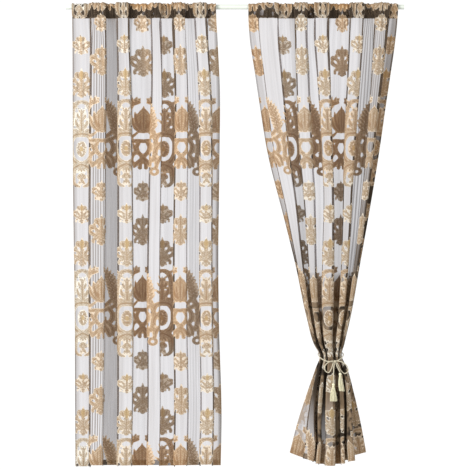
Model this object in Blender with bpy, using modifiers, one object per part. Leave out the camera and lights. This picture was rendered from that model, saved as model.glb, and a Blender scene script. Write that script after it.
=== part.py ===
"""A pair of sheer voile curtains on a slim rod, the right one drawn in by a tasselled cord tie.

Metres, +Z up. The origin is the middle of the rod's axis, which runs along X, and the curtains face -Y.
Each curtain is one cloth: a pocket round the rod, closed by a seam under it, and eleven flat-fronted
folds below that, alternately forward and back, down to the hem.
"""

import math

import bmesh
import bpy
import numpy as np
from mathutils import Matrix, Vector

OBJECT_NAME = "voile_curtain_pair"

# The rod
ROD_RADIUS = 0.011
ROD_LENGTH = 1.56
ROD_SIDES = 32

# The cloth
CLOTH_THICKNESS = 0.0012
SEAM_DROP = 0.0485  # the pocket's seam, below the rod's axis
CLOTH_BELOW_SEAM = 2.074  # length of cloth from that seam to the hem
POCKET_TOP_GAP = 0.0016  # rod to the middle of the cloth that lies on it
POCKET_SIDE_GAP = 0.003
GATHER_BUMP = 0.006  # how far a forward fold stands up over the rod
FOLD_OVERLAP = 0.0045  # how far a fold's corner reaches past the wall of the fold
OVERLAP_SHARE = 0.12  # most of a fold's width that the overlap may be
CORNER_SHARE = 0.45  # how much of a fold's wall or face its rounded corner takes
FOLD_BOW = 0.06  # crown of each fold's face, as a share of its level
LEAST_WALL_SHARE = 0.02  # of a fold's cloth, where its side is a free edge

# One row for each height. Drop is measured down from the rod's axis, depth is from the front of the
# folds to their back, and gather is 1 where the tie draws the folds into a round bundle.
OUTLINE_COLUMNS = ("drop", "left", "right", "depth", "gather")
LEFT_OUTLINE = (
    (0.00, -0.751, -0.088, 0.020, 0.0),
    (0.05, -0.751, -0.086, 0.024, 0.0),
    (0.14, -0.751, -0.081, 0.052, 0.0),
    (0.38, -0.751, -0.070, 0.076, 0.0),
    (0.71, -0.750, -0.072, 0.077, 0.0),
    (1.21, -0.744, -0.077, 0.076, 0.0),
    (1.45, -0.741, -0.074, 0.077, 0.0),
    (1.90, -0.739, -0.062, 0.080, 0.0),
    (2.13, -0.738, -0.066, 0.082, 0.0),
)
RIGHT_OUTLINE = (
    (0.00, 0.062, 0.751, 0.020, 0.0),
    (0.05, 0.062, 0.750, 0.024, 0.0),
    (0.15, 0.069, 0.741, 0.052, 0.0),
    (0.31, 0.093, 0.719, 0.074, 0.0),
    (0.45, 0.114, 0.698, 0.080, 0.0),
    (0.66, 0.148, 0.668, 0.087, 0.0),
    (0.98, 0.228, 0.615, 0.098, 0.0),
    (1.18, 0.277, 0.579, 0.103, 0.1),
    (1.43, 0.330, 0.534, 0.104, 0.5),
    (1.55, 0.362, 0.506, 0.101, 0.9),
    (1.61, 0.390, 0.493, 0.098, 1.0),
    (1.66, 0.373, 0.515, 0.101, 0.9),
    (1.78, 0.332, 0.548, 0.108, 0.6),
    (1.91, 0.290, 0.576, 0.114, 0.4),
    (2.06, 0.252, 0.602, 0.118, 0.3),
    (2.13, 0.236, 0.612, 0.120, 0.3),
)

# One row for each fold, from the curtain's left edge to its right. Its widths are those at the four
# drops in the fold heights, and are fitted to the outline. Level is the place of its face, from -1 at
# the front to 1 at the back, at the first and the last of those drops. Lift is how much higher than
# the longest fold its hem hangs.
WIDTH_COLUMNS = ("upper_width", "middle_width", "lower_width", "hem_width")
FOLD_COLUMNS = (*WIDTH_COLUMNS, "upper_level", "hem_level", "lift")
LEFT_FOLD_HEIGHTS = (0.15, 0.60, 1.20, 2.00)
LEFT_FOLDS = (
    (0.085, 0.080, 0.074, 0.069, 0.80, 0.70, 0.000),
    (0.070, 0.071, 0.071, 0.059, -0.80, -0.90, 0.013),
    (0.055, 0.058, 0.062, 0.069, 1.00, 1.00, 0.004),
    (0.052, 0.060, 0.069, 0.065, -1.00, -1.00, 0.012),
    (0.106, 0.086, 0.069, 0.073, 0.90, 1.00, 0.003),
    (0.042, 0.050, 0.055, 0.055, -0.70, -0.85, 0.014),
    (0.060, 0.063, 0.066, 0.069, 0.85, 1.00, 0.002),
    (0.053, 0.056, 0.059, 0.059, -1.00, -1.00, 0.013),
    (0.047, 0.055, 0.062, 0.059, 0.90, 0.95, 0.004),
    (0.052, 0.054, 0.056, 0.059, -0.95, -0.90, 0.015),
    (0.048, 0.036, 0.030, 0.038, 0.60, 0.60, 0.006),
)
RIGHT_FOLD_HEIGHTS = (0.15, 0.80, 1.61, 2.00)
RIGHT_FOLDS = (
    (0.046, 0.026, 0.0050, 0.066, 0.70, -0.30, 0.008),
    (0.089, 0.060, 0.0065, 0.046, -0.80, -0.60, 0.004),
    (0.080, 0.043, 0.0080, 0.016, 0.80, 0.90, 0.002),
    (0.051, 0.051, 0.0085, 0.014, -1.00, -0.80, 0.012),
    (0.039, 0.045, 0.0100, 0.026, 0.85, 0.90, 0.003),
    (0.062, 0.041, 0.0210, 0.039, -1.00, -1.00, 0.011),
    (0.100, 0.051, 0.0145, 0.032, 0.90, 1.00, 0.006),
    (0.059, 0.039, 0.0090, 0.014, -0.90, -0.80, 0.016),
    (0.055, 0.052, 0.0080, 0.018, 0.90, 0.95, 0.012),
    (0.055, 0.026, 0.0070, 0.026, -0.95, -0.85, 0.012),
    (0.048, 0.026, 0.0055, 0.058, 0.70, 0.30, 0.030),
)
# The columns of points across a fold: what each stands at, and, at a corner, on which side of it
WALL_LEFT, CORNER_LEFT, FACE, CORNER_RIGHT, WALL_RIGHT = range(5)
FOLD_POINTS = (
    (WALL_LEFT, 0), (CORNER_LEFT, -1), (CORNER_LEFT, 1), (FACE, 0), (CORNER_RIGHT, -1), (CORNER_RIGHT, 1),
)
FIRST_FOLD_POINTS = ((WALL_LEFT, 0), (FACE, 0), (CORNER_RIGHT, -1), (CORNER_RIGHT, 1))
LAST_FOLD_POINTS = ((WALL_LEFT, 0), (CORNER_LEFT, -1), (CORNER_LEFT, 1), (FACE, 0), (WALL_RIGHT, 0))

ROUNDEST = 0.985  # how near the bundle's side a fold's face still has some depth
LIFT_START = 0.75  # share of the cloth's length from which the hem's lift comes in
LEAST_FALL = 0.8  # of a step down the cloth, where it leans most
HANG_PASSES = 3  # times that each step down is worked out, each from the last one's lean
POCKET_FULLNESS = 2.2  # how late the pocket's front and back close on the seam

# Heights at which the solids have a row of points, as drops along the cloth below the pocket's seam
LEFT_ROWS = (0.04, 0.10, 0.22, 0.45, 0.75, 1.10, 1.45, 1.80)
RIGHT_ROWS = (
    0.04, 0.10, 0.22, 0.42, 0.64, 0.90, 1.15, 1.36, 1.47, 1.53, 1.565, 1.595, 1.64, 1.71, 1.81, 1.94,
)
POCKET_ARC_STEPS = 6
POCKET_LEG_SHARES = (0.55,)  # rows on each side of the pocket, between seam and rod

# The tie's cord, and its band round the gathered curtain
CORD_RADIUS = 0.0024
CORD_RESOLUTION = 2
BAND_CENTRE = Vector((0.4415, 0.0, -1.601))
BAND_HALF_WIDTH = 0.0580
BAND_HALF_DEPTH = 0.0590
BAND_SAG = 0.031  # how much lower than its sides the band's front is
BAND_BACK_RISE = 0.25  # how much higher its back is, as a share of that
BAND_POINTS = 56

# The bow's knot sits on the band's front
KNOT_X = 0.4562
KNOT_SIZE = (0.016, 0.010, 0.014)
KNOT_SEGMENTS = 14
KNOT_RINGS = 8
GAP = 0.0004

# Routes of the bow's loops and of the two free ends, from the knot's centre: across, forward, up
LOOP_RIGHT_ROUTE = (
    (0.0090, 0.0010, 0.0030), (0.0200, 0.0060, 0.0020), (0.0400, 0.0110, -0.0060),
    (0.0560, 0.0110, -0.0240), (0.0580, 0.0100, -0.0440), (0.0440, 0.0090, -0.0540),
    (0.0280, 0.0090, -0.0420), (0.0160, 0.0080, -0.0210), (0.0085, 0.0040, -0.0045),
)
LOOP_LEFT_ROUTE = (
    (-0.0090, 0.0010, 0.0030), (-0.0190, 0.0050, 0.0020), (-0.0370, 0.0090, -0.0070),
    (-0.0480, 0.0100, -0.0240), (-0.0440, 0.0095, -0.0430), (-0.0300, 0.0090, -0.0490),
    (-0.0190, 0.0085, -0.0350), (-0.0130, 0.0080, -0.0190), (-0.0085, 0.0040, -0.0045),
)
TAIL_LONG_ROUTE = (
    (-0.0030, 0.0040, -0.0078), (-0.0055, 0.0090, -0.0210), (-0.0075, 0.0135, -0.0460),
    (-0.0085, 0.0170, -0.0720), (-0.0090, 0.0200, -0.0960),
)
TAIL_SHORT_ROUTE = (
    (0.0040, 0.0060, -0.0075), (0.0075, 0.0130, -0.0190), (0.0150, 0.0185, -0.0340),
    (0.0220, 0.0205, -0.0480),
)
ROUTE_STEPS = 5  # points of a cord for each stretch between two points of its route

# Tassels: length, width at the foot, and how far the foot swings to the right
TASSEL_LONG = {"length": 0.083, "foot": 0.036, "swing": 0.002}
TASSEL_SHORT = {"length": 0.084, "foot": 0.026, "swing": 0.008}
TASSEL_HEAD_RADIUS = 0.0062
TASSEL_HEAD_LENGTH = 0.017
TASSEL_HEAD_SIDES = 12
# The head's outline from its top down: radius and height as shares of the two sizes above
TASSEL_HEAD_PROFILE = (
    (0.35, 0.0), (0.80, 0.14), (1.0, 0.36), (0.86, 0.58), (0.62, 0.72), (0.82, 0.84), (0.80, 1.0),
)
STRAND_RINGS = ((0.88, 14), (0.42, 7))  # share of the tassel's width, and strands on that ring
STRAND_SIDES = 4
STRAND_RADIUS = 0.0017
STRAND_TAPER = 0.55  # a root's radius as a share of its tip's
STRAND_ROOT_REACH = 0.62  # the roots' ring as a share of the head's radius
STRAND_ROOT_DEPTH = 0.88  # and their height as a share of the head's length

COLOURS = {
    "rod": (0.62, 0.66, 0.60),
    "cloth": (0.20, 0.18, 0.17),
    "cord": (0.80, 0.76, 0.62),
    "tassel": (0.88, 0.84, 0.66),
}


def clear_scene():
    for obj in list(bpy.data.objects):
        bpy.data.objects.remove(obj, do_unlink=True)


def new_collection(name):
    collection = bpy.data.collections.new(name)
    bpy.context.scene.collection.children.link(collection)
    return collection


def new_material(name, colour, roughness, metallic=0.0):
    material = bpy.data.materials.new(name)
    material.use_nodes = True
    shader = material.node_tree.nodes["Principled BSDF"]
    shader.inputs["Base Color"].default_value = (*colour, 1.0)
    shader.inputs["Roughness"].default_value = roughness
    shader.inputs["Metallic"].default_value = metallic
    return material


def add_object(name, data, collection, material):
    obj = bpy.data.objects.new(name, data)
    data.materials.append(material)
    collection.objects.link(obj)
    return obj


def smooth_lookup(heights, values, at):
    """Cubic curve through a table: each stretch leaves and meets its points at the slope between
    the points on either side."""
    heights, values = np.asarray(heights, float), np.asarray(values, float)
    slopes = np.gradient(values, heights)
    at = np.clip(at, heights[0], heights[-1])
    k = np.clip(np.searchsorted(heights, at) - 1, 0, len(heights) - 2)
    step = heights[k + 1] - heights[k]
    t = (at - heights[k]) / step
    from_start = (1 + 2 * t) * (1 - t) ** 2 * values[k] + t * (1 - t) ** 2 * step * slopes[k]
    from_end = t * t * (3 - 2 * t) * values[k + 1] - t * t * (1 - t) * step * slopes[k + 1]
    return from_start + from_end


def ramp(t, rounding):
    """0 below zero and t above it, with the corner between rounded over +-rounding."""
    return np.where(t < -rounding, 0.0, np.where(t > rounding, t, (t + rounding) ** 2 / (4 * rounding)))


class Drape:
    """The folded form of one curtain: where each point of its cloth is at each height."""

    def __init__(self, outline, folds, fold_heights):
        self.outline = {c: [row[i] for row in outline] for i, c in enumerate(OUTLINE_COLUMNS)}
        self.folds = {c: np.array([row[i] for row in folds]) for i, c in enumerate(FOLD_COLUMNS)}
        self.fold_heights = fold_heights
        self.count = len(folds)
        points = [FIRST_FOLD_POINTS, *[FOLD_POINTS] * (self.count - 2), LAST_FOLD_POINTS]
        self.fold = np.array([k for k, of_fold in enumerate(points) for _ in of_fold])
        self.stand, self.off = np.array([point for of_fold in points for point in of_fold]).T

    def at(self, column, drop):
        return smooth_lookup(self.outline["drop"], self.outline[column], drop)

    def faces(self, drop):
        """Left edge of each fold and the last right edge, and each face's level, for each drop."""
        table = np.array([self.folds[c] / sum(self.folds[c]) for c in WIDTH_COLUMNS])
        widths = np.array([smooth_lookup(self.fold_heights, table[:, i], drop) for i in range(self.count)])
        left, right = self.at("left", drop), self.at("right", drop)
        shares = np.concatenate([np.zeros_like(widths[:1]), np.cumsum(widths, axis=0)])
        edges = left + (right - left) * shares / shares[-1]
        blend = np.interp(drop, (self.fold_heights[0], self.fold_heights[-1]), (0.0, 1.0))
        levels = self.folds["upper_level"][:, None] * (1 - blend) + self.folds["hem_level"][:, None] * blend
        off_centre = abs(edges - (left + right) / 2) / ((right - left) / 2)
        outer = np.minimum(np.maximum(off_centre[:-1], off_centre[1:]), ROUNDEST)
        roundness = np.sqrt(1 - outer**2)
        gather = self.at("gather", drop)
        levels = levels * (1 - gather) + np.sign(levels) * roundness * gather
        return edges, levels * self.at("depth", drop) / 2

    def section(self, drop):
        """Across and depth of each column's point, at the drop given for each column.

        Within its fold a point's place runs from 0, halfway along the wall on its left, to 1, halfway
        along the wall on its right. The section is straight along each wall and each face, with
        rounded corners.
        """
        fold, stand, off = self.fold, self.stand, self.off
        edges, levels = self.faces(drop)
        pick = np.arange(len(fold))
        x0, x1 = edges[fold, pick], edges[fold + 1, pick]
        level = levels[fold, pick]
        before = np.where(fold > 0, levels[np.maximum(fold - 1, 0), pick], level)
        after = np.where(fold < self.count - 1, levels[np.minimum(fold + 1, self.count - 1), pick], level)
        width = x1 - x0
        cloth = width + (abs(level - before) + abs(level - after)) / 2
        wall_0 = np.maximum(abs(level - before) / 2 / cloth, LEAST_WALL_SHARE)
        wall_1 = np.maximum(abs(level - after) / 2 / cloth, LEAST_WALL_SHARE)
        face = 1 - wall_0 - wall_1
        round_0 = CORNER_SHARE * np.minimum(wall_0, face / 2)
        round_1 = CORNER_SHARE * np.minimum(wall_1, face / 2)
        middle, end = np.full_like(width, 0.5), np.ones_like(width)
        corner_0, corner_1 = wall_0 + off * round_0, 1 - wall_1 + off * round_1
        place = np.choose(stand, [0 * width, corner_0, middle, corner_1, end])
        overlap = np.minimum(FOLD_OVERLAP, OVERLAP_SHARE * width)
        over_0 = np.where(fold > 0, overlap, 0.0)
        over_1 = np.where(fold < self.count - 1, overlap, 0.0)
        turn_0 = ramp(place - wall_0, round_0)
        turn_1 = ramp(place - (1 - wall_1), round_1)
        back_0, back_1 = -over_0 / wall_0, -over_1 / wall_1
        along = (width + over_0 + over_1) / face
        across = x0 + back_0 * place + (along - back_0) * turn_0 + (back_1 - along) * turn_1
        rise_0 = (level - before) / 2 / wall_0
        rise_1 = (after - level) / 2 / wall_1
        depth = (level + before) / 2 + rise_0 * place - rise_0 * turn_0 + rise_1 * turn_1
        over_face = np.clip((turn_0 - turn_1) / face, 0, 1)
        crown = 4 * over_face * (1 - over_face)
        return across, depth + FOLD_BOW * level * crown

    def hang(self, rows):
        """Points of the cloth from the pocket's seam down, one array for each row. Every thread
        keeps its length, so where it leans the cloth below it hangs higher."""
        lift = self.folds["lift"][self.fold]
        drop = np.full(len(self.fold), SEAM_DROP)
        x, y = self.section(drop)
        points = [np.column_stack([x, y, -drop])]
        lengths = [0.0, *rows, CLOTH_BELOW_SEAM]
        for above, below in zip(lengths, lengths[1:]):
            step = below - above
            guess = drop + step
            for _ in range(HANG_PASSES):
                x1, y1 = self.section(guess)
                lean = (x1 - x) ** 2 + (y1 - y) ** 2
                guess = drop + np.sqrt(np.maximum(step**2 - lean, (LEAST_FALL * step) ** 2))
            drop, x, y = guess, x1, y1
            late = np.clip((below / CLOTH_BELOW_SEAM - LIFT_START) / (1 - LIFT_START), 0, 1)
            points.append(np.column_stack([x, y, lift * late**2 - drop]))
        return points

    def pocket(self, seam):
        """Rows of the pocket from the seam up its front, over the rod and down its back."""
        x, wave = self.section(np.zeros(len(self.fold)))
        side = ROD_RADIUS + POCKET_SIDE_GAP + self.at("depth", 0.0) / 2
        front, back = side - wave, side + wave
        top = ROD_RADIUS + POCKET_TOP_GAP + GATHER_BUMP * np.clip(-wave / abs(wave).max(), 0, 1)

        def leg(reach, share):
            close = (1 - share) ** POCKET_FULLNESS
            across = seam[:, 0] + (x - seam[:, 0]) * share
            return np.column_stack([across, reach + (seam[:, 1] - reach) * close, seam[:, 2] * (1 - share)])

        rows = [leg(-front, share) for share in POCKET_LEG_SHARES]
        for k in range(POCKET_ARC_STEPS + 1):
            turn = math.pi * k / POCKET_ARC_STEPS
            reach = front if turn < math.pi / 2 else back
            rows.append(np.column_stack([x, -reach * math.cos(turn), top * math.sin(turn)]))
        return rows + [leg(back, share) for share in reversed(POCKET_LEG_SHARES)]


def add_curtain(name, drape, rows, collection, material):
    """A curtain's cloth: the hanging rows, the pocket's rows that start and end on its seam, and an
    even thickness."""
    hanging = drape.hang(rows)
    pocket = drape.pocket(hanging[0])
    bm = bmesh.new()
    lines = [[bm.verts.new(p) for p in row] for row in hanging + pocket]
    body, loop = lines[:len(hanging)], [lines[0], *lines[len(hanging):], lines[0]]
    for rows_of in (body, loop):
        for upper, lower in zip(rows_of, rows_of[1:]):
            for k in range(len(upper) - 1):
                bm.faces.new((upper[k], lower[k], lower[k + 1], upper[k + 1]))
    mesh = bpy.data.meshes.new(name)
    bm.to_mesh(mesh)
    bm.free()
    obj = add_object(name, mesh, collection, material)
    thicken = obj.modifiers.new("Cloth thickness", "SOLIDIFY")
    thicken.solidify_mode = "NON_MANIFOLD"
    thicken.nonmanifold_thickness_mode = "EVEN"
    thicken.nonmanifold_merge_threshold = 0.00005
    thicken.thickness = CLOTH_THICKNESS
    thicken.offset = 0.0
    return obj


def smooth_route(points, steps):
    """Points along a smooth curve through a route's own points."""
    points = np.asarray(points, float)
    along = np.concatenate([[0], np.cumsum(np.linalg.norm(np.diff(points, axis=0), axis=1))])
    at = np.linspace(0, along[-1], steps * (len(points) - 1) + 1)
    return np.column_stack([smooth_lookup(along, points[:, axis], at) for axis in range(3)])


def add_cord(name, points, collection, material, closed=False):
    curve = bpy.data.curves.new(name, "CURVE")
    curve.dimensions = "3D"
    curve.bevel_depth = CORD_RADIUS
    curve.bevel_resolution = CORD_RESOLUTION
    curve.use_fill_caps = not closed
    spline = curve.splines.new("POLY")
    spline.points.add(len(points) - 1)
    spline.points.foreach_set("co", np.column_stack([points, np.ones(len(points))]).ravel())
    spline.use_cyclic_u = closed
    return add_object(name, curve, collection, material)


def band_point(turn, outward=0.0):
    """A point of the band, which goes round the curtain from its right side by the back."""
    back = math.sin(turn)
    tilt, sag = (1 + BAND_BACK_RISE) / 2, (1 - BAND_BACK_RISE) / 2
    return BAND_CENTRE + Vector((
        (BAND_HALF_WIDTH + outward) * math.cos(turn),
        (BAND_HALF_DEPTH + outward) * back,
        BAND_SAG * (tilt * back - sag * back**2),
    ))


def knot_centre():
    turn = -math.acos((KNOT_X - BAND_CENTRE.x) / BAND_HALF_WIDTH)
    return band_point(turn, CORD_RADIUS + GAP + KNOT_SIZE[1] / 2)


def from_knot(route):
    """A route's points in place: across, forward and up from the knot's centre."""
    centre = knot_centre()
    return [(centre.x + across, centre.y - forward, centre.z + up) for across, forward, up in route]


def add_rod(collection, material):
    mesh = bpy.data.meshes.new("rod")
    bm = bmesh.new()
    bmesh.ops.create_cone(
        bm, cap_ends=True, segments=ROD_SIDES, radius1=ROD_RADIUS, radius2=ROD_RADIUS, depth=ROD_LENGTH,
        matrix=Matrix.Rotation(math.pi / 2, 4, "Y"),
    )
    bm.to_mesh(mesh)
    bm.free()
    rod = add_object("rod", mesh, collection, material)
    mesh.shade_smooth()
    mesh.set_sharp_from_angle(angle=math.radians(40))
    return rod


def add_knot(collection, material):
    mesh = bpy.data.meshes.new("tie_knot")
    bm = bmesh.new()
    bmesh.ops.create_uvsphere(bm, u_segments=KNOT_SEGMENTS, v_segments=KNOT_RINGS, radius=0.5)
    bmesh.ops.scale(bm, vec=KNOT_SIZE, verts=bm.verts)
    bm.to_mesh(mesh)
    bm.free()
    mesh.shade_smooth()
    knot = add_object("tie_knot", mesh, collection, material)
    knot.location = knot_centre()
    return knot


def tassel_head():
    """A tassel's head, turned: a round cap over a bound neck, from its top at the origin downwards."""
    bm = bmesh.new()
    line = [bm.verts.new((0.0, 0.0, 0.0))]
    for radius, share in TASSEL_HEAD_PROFILE:
        line.append(bm.verts.new((radius * TASSEL_HEAD_RADIUS, 0.0, -share * TASSEL_HEAD_LENGTH)))
    line.append(bm.verts.new((0.0, 0.0, -TASSEL_HEAD_LENGTH)))
    edges = [bm.edges.new(pair) for pair in zip(line, line[1:])]
    bmesh.ops.spin(
        bm, geom=line + edges, axis=(0, 0, 1), cent=(0, 0, 0), angle=math.tau, steps=TASSEL_HEAD_SIDES,
        use_merge=True,
    )
    bmesh.ops.remove_doubles(bm, verts=bm.verts, dist=0.00001)
    bmesh.ops.recalc_face_normals(bm, faces=bm.faces)
    mesh = bpy.data.meshes.new("tassel_head")
    bm.to_mesh(mesh)
    bm.free()
    return mesh


def tassel_strands(length, foot, swing):
    """The skirt: rings of straight strands that spread from the head's underside to the foot."""
    bm = bmesh.new()
    for share, count in STRAND_RINGS:
        for k in range(count):
            turn = math.tau * (k + share) / count
            out = Vector((math.cos(turn), math.sin(turn), 0.0))
            root = out * TASSEL_HEAD_RADIUS * STRAND_ROOT_REACH * share
            root.z = -TASSEL_HEAD_LENGTH * STRAND_ROOT_DEPTH
            tip = out * (foot / 2 - STRAND_RADIUS) * share + Vector((swing, 0, -length))
            axis = tip - root
            matrix = Matrix.Translation((root + tip) / 2) @ axis.to_track_quat("Z", "Y").to_matrix().to_4x4()
            bmesh.ops.create_cone(
                bm, cap_ends=True, segments=STRAND_SIDES, radius1=STRAND_RADIUS * STRAND_TAPER,
                radius2=STRAND_RADIUS, depth=axis.length, matrix=matrix,
            )
    mesh = bpy.data.meshes.new("tassel_strands")
    bm.to_mesh(mesh)
    bm.free()
    return mesh


def add_tassel(name, sizes, top, collection, cutters, material):
    head = add_object(name, tassel_head(), collection, material)
    strands = add_object(name + "_strands", tassel_strands(**sizes), cutters, material)
    strands.hide_render = True
    strands.display_type = "WIRE"
    for piece in (head, strands):
        piece.location = top
    join = head.modifiers.new("Strands", "BOOLEAN")
    join.operation = "UNION"
    join.solver = "EXACT"
    join.use_self = True
    join.object = strands
    return head


def main():
    clear_scene()
    parts = new_collection(OBJECT_NAME)
    cutters = new_collection("cutters")
    rod_finish = new_material("rod_finish", COLOURS["rod"], 0.45)
    cloth = new_material("voile", COLOURS["cloth"], 0.8)
    cord = new_material("twisted_cord", COLOURS["cord"], 0.7)
    yarn = new_material("tassel_yarn", COLOURS["tassel"], 0.75)

    add_rod(parts, rod_finish)
    left_drape = Drape(LEFT_OUTLINE, LEFT_FOLDS, LEFT_FOLD_HEIGHTS)
    right_drape = Drape(RIGHT_OUTLINE, RIGHT_FOLDS, RIGHT_FOLD_HEIGHTS)
    add_curtain("left_panel", left_drape, LEFT_ROWS, parts, cloth)
    add_curtain("right_panel", right_drape, RIGHT_ROWS, parts, cloth)

    band = [band_point(math.tau * k / BAND_POINTS) for k in range(BAND_POINTS)]
    add_cord("tie_band", np.array(band), parts, cord, closed=True)
    add_knot(parts, cord)
    routes = {
        "bow_loop_right": LOOP_RIGHT_ROUTE,
        "bow_loop_left": LOOP_LEFT_ROUTE,
        "tail_long": TAIL_LONG_ROUTE,
        "tail_short": TAIL_SHORT_ROUTE,
    }
    for name, route in routes.items():
        add_cord(name, smooth_route(from_knot(route), ROUTE_STEPS), parts, cord)
    for name, sizes, route in (
        ("tassel_long", TASSEL_LONG, TAIL_LONG_ROUTE),
        ("tassel_short", TASSEL_SHORT, TAIL_SHORT_ROUTE),
    ):
        top = Vector(from_knot(route)[-1]) - Vector((0, 0, GAP + CORD_RADIUS / 2))
        add_tassel(name, sizes, top, parts, cutters, yarn)


main()
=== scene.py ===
"""A pair of sheer damask voile curtains on a slim rod, the right one drawn in by a tasselled tie.

Everything is in metres in the CAD frame: the origin is the middle of the rod's axis, X runs along
the rod, the curtains face -Y and +Z is up.
"""

import math

import bpy
import numpy as np
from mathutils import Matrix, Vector


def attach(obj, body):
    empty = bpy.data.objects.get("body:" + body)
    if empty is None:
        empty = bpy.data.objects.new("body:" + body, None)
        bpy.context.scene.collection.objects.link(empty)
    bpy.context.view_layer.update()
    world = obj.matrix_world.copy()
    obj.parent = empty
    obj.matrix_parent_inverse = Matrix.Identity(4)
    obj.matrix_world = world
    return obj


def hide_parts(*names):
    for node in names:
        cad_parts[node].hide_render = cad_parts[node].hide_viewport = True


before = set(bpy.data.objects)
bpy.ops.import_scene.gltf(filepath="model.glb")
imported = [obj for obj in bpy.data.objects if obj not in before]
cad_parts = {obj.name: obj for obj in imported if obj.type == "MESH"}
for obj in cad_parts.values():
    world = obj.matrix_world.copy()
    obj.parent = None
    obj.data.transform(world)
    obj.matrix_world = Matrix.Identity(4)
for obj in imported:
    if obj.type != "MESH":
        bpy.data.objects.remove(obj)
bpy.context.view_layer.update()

bl_info = {
    "name": "Voile Curtain Pair",
    "version": (1, 0, 0),
    "blender": (4, 5, 0),
    "location": "3D View > Sidebar > Curtains",
    "description": "Builds a pair of sheer damask curtains with a tasselled cord tie",
    "category": "Add Mesh",
}

MM = 0.001

# -------------------------------------------------- the cloth's folds, as in the CAD part

ROD_RADIUS = 0.011
SEAM_DROP = 0.0485  # the pocket's seam, below the rod's axis
CLOTH_BELOW_SEAM = 2.074  # length of cloth from that seam to the hem
POCKET_TOP_GAP = 0.0016  # between the rod and the cloth over it
POCKET_SIDE_GAP = 0.003  # between the rod and the cloth before and behind it
POCKET_FULLNESS = 2.2  # power by which the pocket's sides close in on the seam
GATHER_BUMP = 0.006  # height of the gathers over the rod
FOLD_OVERLAP = 0.0045  # how far a fold reaches past its neighbour's edge
OVERLAP_SHARE = 0.12  # and the most of its own width that this takes
CORNER_SHARE = 0.45  # of a wall's cloth, or of half the face's, that is in its rounded corner
FOLD_BOW = 0.06  # how far the middle of a face stands out, as a share of its level
LEAST_WALL_SHARE = 0.02
ROUNDEST = 0.985  # how far out the round outline of the gathered cloth is followed
LIFT_START = 0.75  # share of the cloth's length from which a fold's hem lifts
LEAST_FALL = 0.8  # share of each step of cloth that hangs straight down at least
HANG_PASSES = 2

OUTLINE_COLUMNS = ("drop", "left", "right", "depth", "gather")
LEFT_OUTLINE = (
    (0.00, -0.751, -0.088, 0.020, 0.0),
    (0.05, -0.751, -0.086, 0.024, 0.0),
    (0.14, -0.751, -0.081, 0.052, 0.0),
    (0.38, -0.751, -0.070, 0.076, 0.0),
    (0.71, -0.750, -0.072, 0.077, 0.0),
    (1.21, -0.744, -0.077, 0.076, 0.0),
    (1.45, -0.741, -0.074, 0.077, 0.0),
    (1.90, -0.739, -0.062, 0.080, 0.0),
    (2.13, -0.738, -0.066, 0.082, 0.0),
)
RIGHT_OUTLINE = (
    (0.00, 0.062, 0.751, 0.020, 0.0),
    (0.05, 0.062, 0.750, 0.024, 0.0),
    (0.15, 0.069, 0.741, 0.052, 0.0),
    (0.31, 0.093, 0.719, 0.074, 0.0),
    (0.45, 0.114, 0.698, 0.080, 0.0),
    (0.66, 0.148, 0.668, 0.087, 0.0),
    (0.98, 0.228, 0.615, 0.098, 0.0),
    (1.18, 0.277, 0.579, 0.103, 0.1),
    (1.43, 0.330, 0.534, 0.104, 0.5),
    (1.55, 0.362, 0.506, 0.101, 0.9),
    (1.61, 0.390, 0.493, 0.098, 1.0),
    (1.66, 0.373, 0.515, 0.101, 0.9),
    (1.78, 0.332, 0.548, 0.108, 0.6),
    (1.91, 0.290, 0.576, 0.114, 0.4),
    (2.06, 0.252, 0.602, 0.118, 0.3),
    (2.13, 0.236, 0.612, 0.120, 0.3),
)
WIDTH_COLUMNS = ("upper_width", "middle_width", "lower_width", "hem_width")
# The last columns are the cloth's: where the middle of the fold's face lies across the pattern,
# from the first figures' axis, how much cloth its face takes, how much painted shade turns its
# palmettes and its band from cream to brown, and how dark the crease at its left side is
FOLD_COLUMNS = (
    *WIDTH_COLUMNS, "upper_level", "hem_level", "lift",
    "across", "face", "tan", "band_shade", "crease",
)
LEFT_FOLD_HEIGHTS = (0.15, 0.60, 1.20, 2.00)
LEFT_FOLDS = (
    (0.085, 0.080, 0.074, 0.069, 0.80, 0.70, 0.000, 0.001, 0.080, 0.20, 0.00, 0.60),
    (0.070, 0.071, 0.071, 0.059, -0.80, -0.90, 0.013, 0.168, 0.071, 0.30, 0.36, 0.50),
    (0.055, 0.058, 0.062, 0.069, 1.00, 1.00, 0.004, 0.270, 0.058, 0.45, 0.50, 0.90),
    (0.052, 0.060, 0.069, 0.065, -1.00, -1.00, 0.012, 0.368, 0.060, 0.14, 0.18, 0.80),
    (0.106, 0.086, 0.069, 0.073, 0.90, 1.00, 0.003, 0.555, 0.086, 0.34, 0.72, 0.95),
    (0.042, 0.050, 0.055, 0.055, -0.70, -0.85, 0.014, 0.671, 0.050, 0.38, 0.52, 0.60),
    (0.060, 0.063, 0.066, 0.069, 0.85, 1.00, 0.002, 0.769, 0.063, 0.36, 0.64, 0.70),
    (0.053, 0.056, 0.059, 0.059, -1.00, -1.00, 0.013, 0.936, 0.056, 0.28, 0.52, 0.90),
    (0.047, 0.055, 0.062, 0.059, 0.90, 0.95, 0.004, 1.030, 0.055, 0.25, 0.40, 0.50),
    (0.052, 0.054, 0.056, 0.059, -0.95, -0.90, 0.015, 1.123, 0.054, 0.12, 0.25, 0.60),
    (0.048, 0.036, 0.030, 0.038, 0.60, 0.60, 0.006, 1.299, 0.036, 0.35, 0.48, 0.90),
)
RIGHT_FOLD_HEIGHTS = (0.15, 0.80, 1.61, 2.00)
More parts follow.
